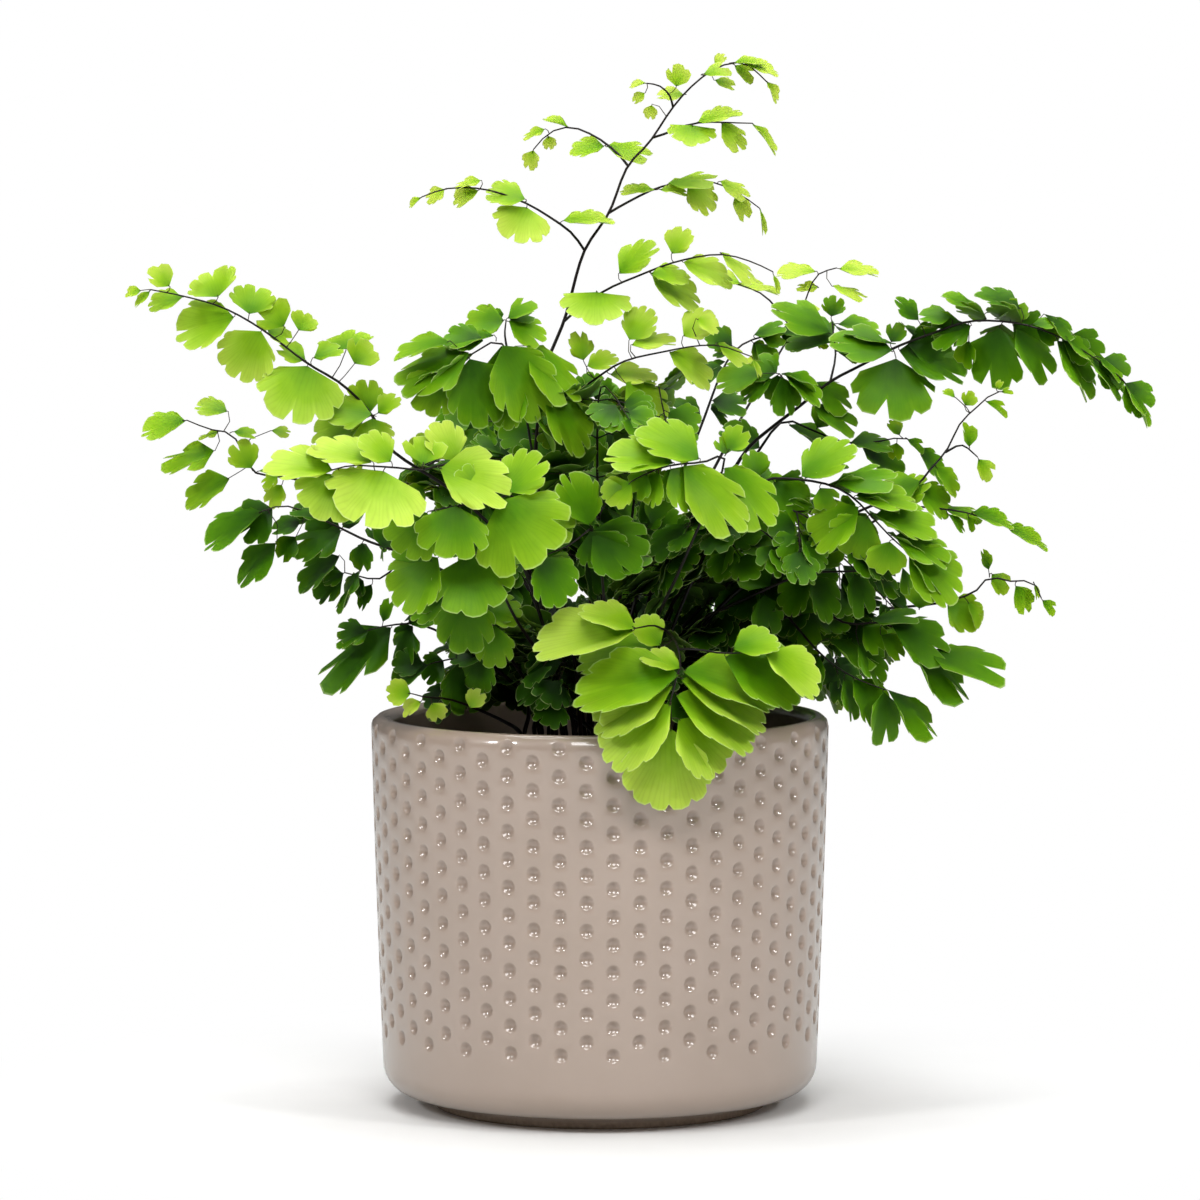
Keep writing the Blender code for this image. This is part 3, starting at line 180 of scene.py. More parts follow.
def new_material(name):
    """A material with its shader, ready for a pattern, and the node helper for its tree."""
    material = bpy.data.materials.new(name)
    material.use_nodes = True
    tree = material.node_tree
    return material, tree.nodes["Principled BSDF"], partial(node, tree)


print("white is", linear("#FFFFFF")[:3])

# %% [markdown]
# ## The pot's outline
#
# The cover pot was thrown or cast in stoneware: a nearly straight wall that opens a little
# upwards, a rounded lip, a rounded lower corner and a low foot. A turned shape is fully
# described by half of its section, so the section comes first, as radius and height in mm.
# The lip is a half circle between the outer and the inner wall.

# %% Section of the pot
GAP = 0.0003  # what touches is modelled this far apart
POT_OUTER = [  # radius, height in mm, from the middle of the flat foot out and up to the lip
    (0.0, 0.0), (51.0, 0.0), (51.0, 4.0), (58.5, 4.2), (62.6, 6.0), (65.4, 9.4), (66.4, 14.0),
    (67.5, 32.0), (68.8, 63.0), (70.0, 110.0), (69.7, 116.5), (68.4, 119.3), (66.6, 120.0),
]
POT_INNER = [  # on over the lip and down to the middle of the floor
    (64.9, 119.3), (63.8, 117.0), (63.4, 111.0), (62.2, 63.0), (60.6, 22.0), (57.0, 14.0),
    (48.0, 11.5), (0.0, 11.0),
]
MIX_TOP_EDGE = 101.0  # mm, height of the mix beside the wall
MIX_TOP = 103.0  # mm, height of the mix under the rootstock
CROWN_R = 28.0  # mm, radius of the rootstock
CROWN_H = 7.0  # mm, and its rise above the mix
POT_SIDES = 216  # four for each column of dimples
FRONT = math.radians(-90)  # the way that the front faces
LIP_R = 3.3  # mm
WALL_LOW, WALL_HIGH = 13.2, 116.7  # mm, heights at which the wall starts and ends


def lip_arc(start, end, steps):
    """Part of the lip's half circle; 0 is its outer side, 180 its inner side."""
    middle = 66.7  # mm, the radius of the lip's middle line
    turns = [math.radians(a) for a in np.linspace(start, end, steps)]
    return [(middle + LIP_R * math.cos(a), WALL_HIGH + LIP_R * math.sin(a)) for a in turns]


def rounded_corner():
    """The lower corner, from the underside beside the foot up to the wall."""
    quarter = np.linspace(0.0, math.pi / 2, 9)
    return [(58.0 + 8.6 * math.sin(a), WALL_LOW - 9.0 * math.cos(a)) for a in quarter]


def wall_radius(z):
    """The outer wall opens upwards and is very slightly bellied."""
    t = (z - WALL_LOW) / (WALL_HIGH - WALL_LOW)
    return 66.6 + 3.4 * t + 0.9 * t * (1 - t)


wall = [(wall_radius(z), z) for z in np.linspace(14.4, 116.0, 90)]
outside = rounded_corner() + wall + lip_arc(0, 90, 13)
print("outer section:", len(outside), "points")

# %% [markdown]
# ## Where the dimples go
#
# The dimples stand in 54 upright columns, and every second column is shifted by half a step.
# A band of wall can be unrolled to a flat strip and cut into tiles with one dimple each. The
# strip is measured along the wall's own section, so that it wraps over the start of the lip.

# %% Unrolled band
COLUMNS = 54
ROWS = 12
ROW_STEP = 8.35  # mm between dimples in a column
BAND = ROWS * ROW_STEP
LOWEST = 20.4  # mm, height where the band starts
DIMPLE_R = 2.2  # mm
DIMPLE_DEEP = 1.15  # mm


def along(points):
    """Distance along a section at each of its points."""
    return [0.0] + list(np.cumsum([math.dist(a, b) for a, b in zip(points, points[1:])]))


def cut(points, start, end):
    """The part of a section between two distances along it."""
    s = along(points)
    near = 0.05  # mm, points this close to a cut are dropped
    inside = [p for p, d in zip(points, s) if start + near < d < end - near]

    def at(d):
        return tuple(float(np.interp(d, s, [p[i] for p in points])) for i in (0, 1))

    return [at(start)] + inside + [at(end)]


reach = along(outside)
band_start = float(np.interp(LOWEST, [p[1] for p in outside], reach))
band_line = cut(outside, band_start, band_start + BAND)
below_band = cut(outside, 0.0, band_start)
above_band = cut(outside, band_start + BAND, reach[-1])
ends = [[round(v, 1) for v in point] for point in (band_line[0], band_line[-1])]
print("band from", ends[0], "to", ends[1], "mm")

# %% [markdown]
# ## Plain parts of the pot
#
# Everything but the dimpled band is turned directly: the flat foot with its small edge, the
# lower corner, the lip, the inner wall and the floor inside. It is one strip of rings that
# stays open where the band will join it.

# %% Turned rings
def ring(mesh, radius, height, count, start):
    """A ring of points in mm, or a single one on the axis."""
    if radius == 0.0:
        return [mesh.verts.new((0.0, 0.0, height * MM))]
    turns = [start + 2 * math.pi * i / count for i in range(count)]
    r = radius * MM
    return [mesh.verts.new((r * math.cos(a), r * math.sin(a), height * MM)) for a in turns]


def turn(mesh, section, count=POT_SIDES, start=FRONT):
    """Adds a turned strip to a bmesh; the section runs so that its outside is on the right."""
    rings = [ring(mesh, r, z, count, start) for r, z in section]
    for a, b in zip(rings, rings[1:]):
        for i in range(count):
            j = (i + 1) % count
            corners = [a[i % len(a)], a[j % len(a)], b[j % len(b)], b[i % len(b)]]
            mesh.faces.new(list(dict.fromkeys(corners)))


def as_object(mesh, name):
    """A bmesh becomes a linked object at the origin."""
    data = bpy.data.meshes.new(name)
    mesh.to_mesh(data)
    mesh.free()
    made = bpy.data.objects.new(name, data)
    bpy.context.scene.collection.objects.link(made)
    return made


FOOT = [(0.0, 0.0), (25.0, 0.0), (50.3, 0.0), (50.8, 0.2), (51.0, 0.7), (51.0, 3.4), (51.3, 4.0),
        (52.0, 4.2)]
INNER_WALL = [(63.4, 112.0), (63.4, 105.0), (62.6, 80.0), (61.4, 45.0), (60.4, 24.0), (58.6, 17.0),
              (55.0, 13.0), (48.0, 11.5), (24.0, 11.1), (0.0, 11.0)]
plain = bmesh.new()
turn(plain, FOOT + below_band)
turn(plain, above_band + lip_arc(90, 180, 13)[1:] + INNER_WALL)
pot_plain = as_object(plain, "pot_plain")
print("plain parts:", len(pot_plain.data.polygons), "faces")

# %% [markdown]
# ## One tile with one dimple
#
# The tile is flat for now: its width runs round the pot, its height along the section, and its
# depth into the wall. Rings of sixteen points go from the middle of the hollow, over the soft
# edge that glaze leaves, out to the tile's border. Each side has four parts, so that a tile
# meets its neighbours point to point even when they are shifted by half a step.

# %% Tile and half tile
TILE_W = 2 * math.pi * 70.0 / COLUMNS  # mm, at the wall's widest
PARTS = 4  # along each side of a tile
BOWL = [  # radius and depth of each ring, as shares of the dimple's
    (0.34, -0.90), (0.62, -0.67), (0.84, -0.35), (0.99, -0.08), (1.14, 0.0),
]


def border(width, height):
    """Points round a rectangle, starting at its lower right corner."""
    w, h = width / 2, height / 2
    corners = [(w, -h), (w, h), (-w, h), (-w, -h)]
    points = []
    for (x0, y0), (x1, y1) in zip(corners, corners[1:] + corners[:1]):
        points += [(x0 + (x1 - x0) * k / PARTS, y0 + (y1 - y0) * k / PARTS) for k in range(PARTS)]
    return points


def dimple_tile():
    tile = bmesh.new()
    edge = border(TILE_W, ROW_STEP)
    turns = [math.atan2(y, x) for x, y in edge]
    middle = tile.verts.new((0, 0, -DIMPLE_DEEP * MM))
    loops = []
    for share, deep in BOWL:
        r, z = DIMPLE_R * share * MM, deep * DIMPLE_DEEP * MM
        loops.append([tile.verts.new((r * math.cos(a), r * math.sin(a), z)) for a in turns])
    loops.append([tile.verts.new((x * MM, y * MM, 0)) for x, y in edge])
    for i in range(len(edge)):
        j = (i + 1) % len(edge)
        tile.faces.new((middle, loops[0][i], loops[0][j]))
        for inner, outer in zip(loops, loops[1:]):
            tile.faces.new((inner[i], outer[i], outer[j], inner[j]))
    return as_object(tile, "dimple_tile")


def half_tile():
    tile = bmesh.new()
    across = [TILE_W * (c / PARTS - 0.5) * MM for c in range(PARTS + 1)]
    rows = [[tile.verts.new((x, ROW_STEP * r / PARTS * MM, 0)) for x in across] for r in range(3)]
    for low, high in zip(rows, rows[1:]):
        for c in range(PARTS):
            tile.faces.new((low[c], low[c + 1], high[c + 1], high[c]))
    return as_object(tile, "half_tile")


tiles = [dimple_tile(), half_tile()]
print("tile:", len(tiles[0].data.polygons), "faces,", round(TILE_W, 2), "x", ROW_STEP, "mm")

# %% [markdown]
# ## Tiling and bending the band
#
# Geometry Nodes suit a pattern that repeats and follows a surface. The tree lays tiles on a
# flat lattice, realises them, and then bends the strip: the distance round the pot becomes an
# angle, the distance up the strip is looked up on the wall's section, and the depth goes along
# the section's normal. The bent band is joined to the plain parts and merged to one skin.

# %% Tree for the dimpled band
MERGE = 0.03 * MM  # points closer than this become one


def new_group(name, inputs):
    """A tree with named inputs, their identifiers, the node helper and what the inputs give."""
    group = bpy.data.node_groups.new(name, "GeometryNodeTree")
    group.interface.new_socket("Geometry", in_out="INPUT", socket_type="NodeSocketGeometry")
    group.interface.new_socket("Geometry", in_out="OUTPUT", socket_type="NodeSocketGeometry")
    keys = {}
    for label, kind, *value in inputs:
        made = group.interface.new_socket(label, in_out="INPUT", socket_type="NodeSocket" + kind)
        if value:
            made.default_value = value[0]
        keys[label] = made.identifier
    add = partial(node, group)
    return group, keys, add, add("NodeGroupInput").outputs


def lattice(add, count, tile, x, y, keep):
    """Instances of a tile at computed places, keeping those where keep is true."""
    points = add("GeometryNodeMeshLine", {"Count": count, "Offset": (0.0, 0.0, 0.0)})
    place = add("ShaderNodeCombineXYZ", {"X": x, "Y": y})
    placed = add("GeometryNodeSetPosition", {"Geometry": points, "Position": place})
    shape = add("GeometryNodeObjectInfo", {"Object": tile}).outputs["Geometry"]
    planted = {"Points": placed, "Selection": keep, "Instance": shape}
    return add("GeometryNodeInstanceOnPoints", planted)


def dimpled_band_tree():
    group, keys, add, given = new_group("dimpled_band", [
        ("Dimple tile", "Object"), ("Half tile", "Object"), ("Wall line", "Object"),
        ("Columns", "Int", COLUMNS), ("Rows", "Int", ROWS), ("Tile width", "Float", TILE_W * MM),
        ("Row step", "Float", ROW_STEP * MM), ("Glaze", "Material")])
    columns, rows, width, step = (given[k] for k in ("Columns", "Rows", "Tile width", "Row step"))
    index = add("GeometryNodeInputIndex")
    column = add(MODULO, [index, columns])
    row = add(FLOOR, [add(DIVIDE, [index, columns])])
    odd = add(MODULO, [column, 2.0])
    x = add(MULTIPLY, [add(ADD, [column, 0.5]), width])

    # every second column is half a step higher and has one dimple less
    mid_row = add(ADD, [row, 0.5])
    shifted = add(ADD, [mid_row, add(MULTIPLY, [odd, 0.5])])
    top_row = add(SUBTRACT, [rows, 1.0])
    in_top_row = add(COMPARE, [row, top_row, 0.1])
    too_high = add(MULTIPLY, [odd, in_top_row])
    count = add(MULTIPLY, [columns, rows])
    y = add(MULTIPLY, [shifted, step])
    keep = add(SUBTRACT, [1.0, too_high])
    dimples = lattice(add, count, given["Dimple tile"], x, y, keep)

    # half tiles close both ends of those columns
    far_end = add(SUBTRACT, [rows, 0.5])
    end_row = add(MULTIPLY, [row, far_end])
    end_y = add(MULTIPLY, [end_row, step])
    both_ends = add(MULTIPLY, [columns, 2.0])
    halves = lattice(add, both_ends, given["Half tile"], x, end_y, odd)
    flat = add("GeometryNodeJoinGeometry", [[halves, dimples]])
    real = add("GeometryNodeRealizeInstances", {"Geometry": flat})
    here = add(SPLIT, [add("GeometryNodeInputPosition")]).outputs
    hollow = add(DIVIDE, [here["Z"], -DIMPLE_DEEP * MM])
    real = add("GeometryNodeStoreNamedAttribute",
               {"Geometry": real, "Name": "hollow", "Value": hollow})

    # bend the flat strip round the pot
    wall_mesh = add("GeometryNodeObjectInfo", {"Object": given["Wall line"]}).outputs["Geometry"]
    line = add("GeometryNodeMeshToCurve", {"Mesh": wall_mesh})
    look = add("GeometryNodeSampleCurve", {"Curves": line, "Length": here["Y"]}, mode="LENGTH")
    section = add(SPLIT, [look.outputs["Position"]]).outputs
    tangent = add(SPLIT, [look.outputs["Tangent"]]).outputs
    radius = add(MULTIPLY_ADD, [tangent["Z"], here["Z"], section["X"]])
    tipped = add(MULTIPLY, [tangent["X"], here["Z"]])
    height = add(SUBTRACT, [section["Z"], tipped])
    whole_way = add(MULTIPLY, [width, columns])
    part_turn = add(DIVIDE, [here["X"], whole_way])
    angle = add(MULTIPLY_ADD, [part_turn, 2 * math.pi, FRONT])
    x = add(MULTIPLY, [radius, add(COSINE, [angle])])
    y = add(MULTIPLY, [radius, add(SINE, [angle])])
    bent = add("ShaderNodeCombineXYZ", [x, y, height])
    band = add("GeometryNodeSetPosition", {"Geometry": real, "Position": bent})

    whole = add("GeometryNodeJoinGeometry", [[band, given["Geometry"]]])
    merged = add("GeometryNodeMergeByDistance", {"Geometry": whole, "Distance": MERGE})
    soft = add("GeometryNodeSetShadeSmooth", {"Geometry": merged})
    done = add("GeometryNodeSetMaterial", {"Geometry": soft, "Material": given["Glaze"]})
    add("NodeGroupOutput", [done])
    return group, keys


band_tree, band_keys = dimpled_band_tree()
print("band tree:", len(band_tree.nodes), "nodes")

# %% [markdown]
# ## The glaze
#
# The pot wears a warm taupe glaze fired to a satin shine. Its body is a dielectric with a
# roughness near 0.3, which spreads the light softly, and its skin is a smoother clear coat,
# which puts a small glint in each dimple. Glaze is never quite even. Its colour drifts a little
# over centimetres, it runs thin and browner on the lip, and fine unevenness breaks the
# highlights. In the hollows it is painted darker, partly as glaze that pools there and partly
# as painted shade in the dimples. The foot is wiped clean before firing and shows clay.

# %% Glazed stoneware
def glazed_stoneware():
    """Fired stoneware glaze: an even satin colour, darker in the hollows as pooled glaze and painted shade,
    small glints.
    """
    material, shader, add = new_material("glazed_stoneware")
    place = add("ShaderNodeTexCoord").outputs["Object"]
    height = add(SPLIT, [place]).outputs["Z"]
    drift = add(NOISE, {"Vector": place, "Scale": 38.0, "Detail": 3.0})  # patches of 26 mm
    taupe = add(RAMP, [drift], [(0.30, "#AD9A8C"), (0.70, "#B29F92")])
    lip = add(MAP_RANGE, {"Value": height, "From Min": 0.1172, "From Max": 0.1199, "To Max": 0.35})
    on_lip = add(MIX_COLOURS, {"Factor": lip, FIRST: taupe, SECOND: linear("#A58E7C")})
    foot = {"Value": height, "From Min": 0.0016, "From Max": 0.0024, "To Min": 1.0, "To Max": 0.0}
    clay = add(MAP_RANGE, foot)
    grog = add(NOISE, {"Vector": place, "Scale": 900.0, "Detail": 2.0})  # grains of 1.1 mm
    bare = add(RAMP, [grog], [(0.35, "#A5917F"), (0.65, "#B6A290")])
    hollow = add("ShaderNodeAttribute", attribute_name="hollow").outputs["Fac"]
    # darker in the dimples: partly glaze that pools there, partly painted shade
    pool_and_shade = add(MULTIPLY, [hollow, 0.5])
    pooled_and_shaded = add(MIX_COLOURS,
                 {"Factor": pool_and_shade, FIRST: on_lip.outputs[MIXED], SECOND: linear("#7F6B5C")})
    skin = add(MIX_COLOURS, {"Factor": clay, FIRST: pooled_and_shaded.outputs[MIXED], SECOND: bare})
    satin = add(MAP_RANGE, {"Value": drift, "From Min": 0.3, "From Max": 0.7, "To Min": 0.30,
                            "To Max": 0.35})
    dull = add(MULTIPLY_ADD, [clay, 0.5, satin])
    fine = add(NOISE, {"Vector": place, "Scale": 420.0, "Detail": 2.0})  # waves of 2.4 mm
    relief = add("ShaderNodeBump", {"Height": fine, "Strength": 0.06, "Distance": 0.2 * MM})
    coat = add(SUBTRACT, [1.0, clay])
    feed(shader, {"Base Color": skin.outputs[MIXED], "Roughness": dull, "Normal": relief, "IOR": 1.5,
                  "Coat Weight": coat, "Coat Roughness": 0.10, "Coat IOR": 1.65})
    return material


glaze = glazed_stoneware()
print("material:", glaze.name)

# %% [markdown]
# ## Baking a tree to a plain mesh
#
# A modifier is a recipe, and the finished part should hold the dish. The evaluated object is
# copied to a plain mesh, checked for open edges, placed on the body that it rides on, and the
# working object goes away.

# %% From modifier to mesh
def add_tree(target, group, keys, values):
    """Puts a tree on an object, with its inputs set before the first evaluation."""
    modifier = target.modifiers.new(group.name, "NODES")
    modifier.node_group = group
    for name, value in values.items():
        modifier[keys[name]] = value


def bake(source, name):
    """A new object with the evaluated mesh of source; source is removed."""
    bpy.context.view_layer.update()
    source.update_tag()
    graph = bpy.context.evaluated_depsgraph_get()
    data = bpy.data.meshes.new_from_object(source.evaluated_get(graph))
    data.name = name
    bpy.data.objects.remove(source, do_unlink=True)
    made = bpy.data.objects.new(name, data)
    bpy.context.scene.collection.objects.link(made)
    return made


def open_edges(made):
    """How many edges don't have exactly two faces."""
    counts = np.zeros(len(made.data.edges), int)
    loop_edges = np.zeros(len(made.data.loops), int)
    made.data.loops.foreach_get("edge_index", loop_edges)
    np.add.at(counts, loop_edges, 1)
    return int((counts != 2).sum())


def facing_out(made):
    """Turns a closed mesh's faces outwards."""
    work = bmesh.new()
    work.from_mesh(made.data)
    bmesh.ops.recalc_face_normals(work, faces=work.faces)
    work.to_mesh(made.data)
    work.free()


line_mesh = bmesh.new()
line_points = [line_mesh.verts.new((r * MM, 0.0, z * MM)) for r, z in band_line]
for a, b in zip(line_points, line_points[1:]):
    line_mesh.edges.new((a, b))
wall_line = as_object(line_mesh, "wall_line")

add_tree(pot_plain, band_tree, band_keys,
         {"Dimple tile": tiles[0], "Half tile": tiles[1], "Wall line": wall_line, "Glaze": glaze})
pot = bake(pot_plain, "cover_pot")
for helper in tiles + [wall_line]:
    bpy.data.objects.remove(helper, do_unlink=True)
facing_out(pot)
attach(pot, "root")
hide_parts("pot")
print("pot:", len(pot.data.polygons), "faces, open edges:", open_edges(pot))

# %% [markdown]
# ## The potting mix
#
# Under the leaves lies dark, moist mix: peat with bark crumbs, some of them lighter, and a few
# grains of perlite. The body of it is a turned shape whose top a noise lifts and drops by a
# millimetre or so, and Geometry Nodes scatter crumbs over that top.

# %% Mix body and crumbs
SURFACE = 0.1002  # m, above this the mix is crumbly
FULL_TURN = 6.28  # radians


def mix_body():
    mesh = bmesh.new()
    side = [(0.0, 11.5), (47.5, 12.0), (57.0, 15.0), (59.9, 23.0), (61.0, 46.0), (62.0, 80.0),
            (62.5, 100.0)]
    top = [(r, 101.2 + 1.6 * min(1.0, (61.6 - r) / 28)) for r in np.linspace(61.6, 0.0, 30)[:-1]]
    turn(mesh, side + top + [(0.0, 102.8)], 96, 0.0)
    return as_object(mesh, "mix_body")


def crumb_tree():
    group, keys, add, given = new_group("crumbly_mix", [
        ("Lift", "Float", 2.2 * MM), ("Crumbs per m2", "Float", 90000.0),
        ("Crumb size", "Float", 1.1 * MM), ("Mix", "Material")])
    here = add("GeometryNodeInputPosition")
    height = add(SPLIT, [here]).outputs["Z"]
    top = add(GREATER_THAN, [height, SURFACE + 0.6 * MM])
    lumps = add(NOISE, {"Vector": here, "Scale": 240.0, "Detail": 4.0})  # lumps of 4 mm
    lowered = add(SUBTRACT, [lumps, 0.62])
    rise = add(MULTIPLY, [lowered, given["Lift"]])
    lift = add("ShaderNodeCombineXYZ", {"Z": rise})
    rough = add("GeometryNodeSetPosition",
                {"Geometry": given["Geometry"], "Selection": top, "Offset": lift})
    bed = add(GREATER_THAN, [height, SURFACE])
    spots = add("GeometryNodeDistributePointsOnFaces", {
        "Mesh": rough, "Selection": bed, "Density": given["Crumbs per m2"], "Seed": 5})
    ball = add("GeometryNodeMeshIcoSphere", {"Radius": given["Crumb size"], "Subdivisions": 1})
    any_way = {"Min": (0.0, 0.0, 0.0), "Max": (FULL_TURN, FULL_TURN, FULL_TURN), "Seed": 2}
    turned = add("FunctionNodeRandomValue", any_way, data_type="FLOAT_VECTOR")
    any_size = {"Min": (0.35, 0.35, 0.3), "Max": (1.3, 0.9, 0.8), "Seed": 3}
    sized = add("FunctionNodeRandomValue", any_size, data_type="FLOAT_VECTOR")
    way = add("FunctionNodeEulerToRotation", {"Euler": turned})
    crumbs = add("GeometryNodeInstanceOnPoints", {
        "Points": spots.outputs["Points"], "Instance": ball, "Rotation": way, "Scale": sized})
    whole = add("GeometryNodeJoinGeometry", [[crumbs, rough]])
    real = add("GeometryNodeRealizeInstances", {"Geometry": whole})
    done = add("GeometryNodeSetMaterial", {"Geometry": real, "Material": given["Mix"]})
    add("NodeGroupOutput", [done])
    return group, keys


def moist_mix():
    """Peat and bark crumbs: rough and dark, with brown and a few pale grains."""
    material, shader, add = new_material("peat_and_bark_mix")
    place = add("ShaderNodeTexCoord").outputs["Object"]
    grains = add("ShaderNodeTexVoronoi", {"Vector": place, "Scale": 420.0})  # grains of 2.4 mm
    pick = add("ShaderNodeSeparateColor", [grains.outputs["Color"]])
    brown = add(RAMP, [pick], [(0.0, "#1B110B"), (0.45, "#2E1F15"), (0.8, "#47301F"),
                               (0.96, "#6B503A"), (1.0, "#B9AD9C")])
    fuzz = add(NOISE, {"Vector": place, "Scale": 1600.0, "Detail": 4.0})  # fibres of 0.6 mm
    relief = add("ShaderNodeBump", {"Height": fuzz, "Strength": 0.7, "Distance": 0.4 * MM})
    feed(shader, {"Base Color": brown, "Roughness": 0.9, "Specular IOR Level": 0.2,
                  "Normal": relief})
    return material


mix_tree, mix_keys = crumb_tree()
body = mix_body()
add_tree(body, mix_tree, mix_keys, {"Mix": moist_mix()})
mix = bake(body, "potting_mix")
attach(mix, "root")
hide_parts("soil")
print("mix:", len(mix.data.polygons), "faces, open edges:", open_edges(mix))

# %% [markdown]
# ## The rootstock
#
# All fronds rise from a short, creeping rootstock: a low brown mound covered with narrow
# scales that point outwards. A dome of rings carries instances of one scale, laid along its
# slope.

# %% Rootstock with scales
GOLDEN = 2.399963  # radians; points turned by this much spread evenly over a disc
SCALES = 420


def dome_points():
    points = []
    for i in range(SCALES):
        r = CROWN_R * 0.96 * math.sqrt((i + 0.5) / SCALES)
        a = i * GOLDEN
        z = MIX_TOP + CROWN_H * (1 - (r / CROWN_R) ** 2) - 0.5
        points.append(Vector((r * math.cos(a) * MM, r * math.sin(a) * MM, z * MM)))
    return points


def scale_shape():
    """A narrow pointed scale, 1 unit long, closed."""
    mesh = bmesh.new()
    outline = [(-0.18, 0, 0), (0.18, 0, 0), (0.14, 0.5, 0.05), (0, 1, 0.22), (-0.14, 0.5, 0.05)]
    low = [mesh.verts.new(p) for p in outline]
    high = mesh.verts.new((0, 0.35, 0.2))
    mesh.faces.new(low[::-1])
    for i in range(len(low)):
        mesh.faces.new((low[i], low[(i + 1) % len(low)], high))
    return as_object(mesh, "scale_shape")


def rootstock_body():
    mesh = bmesh.new()
    slope = [(CROWN_R * 0.97 * t, MIX_TOP + CROWN_H * (1 - t * t) - 0.4)
             for t in np.linspace(0.97, 0.1, 10)]
    section = [(0.0, 102.9), (26.8, 102.9)] + slope + [(0.0, MIX_TOP + CROWN_H - 0.4)]
    turn(mesh, section, 48, 0.0)
    return as_object(mesh, "rootstock_body")


print("rootstock: radius", CROWN_R, "mm, rise", CROWN_H, "mm")

# %% [markdown]
# ## A tree that plants shapes on points
#
# The rootstock's scales and the ferns' leaflets are planted the same way: a mesh of loose
# points says where, which way, how large and which shape, and one tree does the planting. The
# same mesh may hold chains of edges, which the tree turns into round, tapering stalks. Each
# chain has a radius at every point.

# %% Planting tree
LAYERS = [  # what each point carries: name, kind, field
    ("kind", "INT", "value"), ("turn", "FLOAT_VECTOR", "vector"), ("size", "FLOAT_VECTOR", "vector"),
    ("tone", "FLOAT", "value"), ("radius", "FLOAT", "value"),
]


def planting_tree():
    group, keys, add, given = new_group("planted_shapes", [
        ("Shapes", "Collection"), ("Stalk sides", "Int", 6), ("Shape material", "Material"),
        ("Stalk material", "Material")])

    def named(name, kind):
        layer = add("GeometryNodeInputNamedAttribute", {"Name": name}, data_type=kind)
        return layer.outputs["Attribute"]

    kind = named("kind", "INT")
    shapes = add("GeometryNodeCollectionInfo", {
        "Collection": given["Shapes"], "Separate Children": True, "Reset Children": True})
    wanted = add(GREATER_THAN, [kind, 0.5])
    which = add(SUBTRACT, [kind, 1.0])
    way = add("FunctionNodeEulerToRotation", {"Euler": named("turn", "FLOAT_VECTOR")})
    planted = add("GeometryNodeInstanceOnPoints", {
        "Points": given["Geometry"], "Selection": wanted, "Instance": shapes, "Pick Instance": True,
        "Instance Index": which, "Rotation": way, "Scale": named("size", "FLOAT_VECTOR")})
    real = add("GeometryNodeRealizeInstances", {"Geometry": planted})
    leafy = add("GeometryNodeSetMaterial", {"Geometry": real, "Material": given["Shape material"]})
    chains = add("GeometryNodeMeshToCurve", {"Mesh": given["Geometry"]})
    circle = add("GeometryNodeCurvePrimitiveCircle",
                 {"Resolution": given["Stalk sides"], "Radius": 1.0})
    tubes = add("GeometryNodeCurveToMesh", {
        "Curve": chains, "Profile Curve": circle, "Scale": named("radius", "FLOAT"),
        "Fill Caps": True})
    woody = add("GeometryNodeSetMaterial", {"Geometry": tubes, "Material": given["Stalk material"]})
    whole = add("GeometryNodeJoinGeometry", [[woody, leafy]])
    soft = add("GeometryNodeSetShadeSmooth", {"Geometry": whole})
    add("NodeGroupOutput", [soft])
    return group, keys


def shelf(name, shapes):
    """A collection that holds the shapes to plant, in the order of their names."""
    holder = bpy.data.collections.new(name)
    bpy.context.scene.collection.children.link(holder)
    for shape in shapes:
        bpy.context.scene.collection.objects.unlink(shape)
        holder.objects.link(shape)
    return holder


def clear_shelf(holder):
    for shape in list(holder.objects):
        bpy.data.objects.remove(shape, do_unlink=True)
    bpy.data.collections.remove(holder)


def point_mesh(name, places, chains):
    """The mesh to plant on.

    Each of places is (point, ahead, across, size, kind, tone), and each of chains is a list of
    (point, radius, tone).
    """
    spots, edges, rows = [], [], []
    for point, ahead, across, size, kind, tone in places:
        up = across.cross(ahead).normalized()
        side = ahead.cross(up).normalized()
        turn_to = Matrix((side, ahead.normalized(), up)).transposed().to_euler()
        spots.append(point)
        rows.append((kind, tuple(turn_to), tuple(size), tone, 0.0))
    for chain in chains:
        start = len(spots)
        for point, radius, tone in chain:
            spots.append(point)
            rows.append((0, (0, 0, 0), (1, 1, 1), tone, radius))
        edges += [(start + i, start + i + 1) for i in range(len(chain) - 1)]
    data = bpy.data.meshes.new(name)
    data.from_pydata([tuple(p) for p in spots], edges, [])
    for index, (label, kind, field) in enumerate(LAYERS):
        layer = data.attributes.new(label, kind, "POINT")
        values = np.array([row[index] for row in rows], np.int32 if kind == "INT" else np.float32)
        layer.data.foreach_set(field, values.ravel())
    made = bpy.data.objects.new(name, data)
    bpy.context.scene.collection.objects.link(made)
    return made


plant_tree, plant_keys = planting_tree()
print("planting tree:", len(plant_tree.nodes), "nodes")

# %% [markdown]
# ## Rootstock finish
#
# The scales are dry, thin and chestnut brown; the mound under them is joined to them and gets
# no material of its own. A noise along the mound gives each scale its own hue.

# %% Scaly rootstock
UP = Vector((0, 0, 1))


def brown_scales():
    """Dry papery scales: no shine, and brown in several shades."""
    material, shader, add = new_material("dry_brown_scales")
    place = add("ShaderNodeTexCoord").outputs["Object"]
    patch = add(NOISE, {"Vector": place, "Scale": 500.0, "Detail": 2.0})  # patches of 2 mm
    brown = add(RAMP, [patch], [(0.3, "#1E120B"), (0.55, "#3F2718"), (0.75, "#6A4327")])
    feed(shader, {"Base Color": brown, "Roughness": 0.85, "Specular IOR Level": 0.12})
    return material


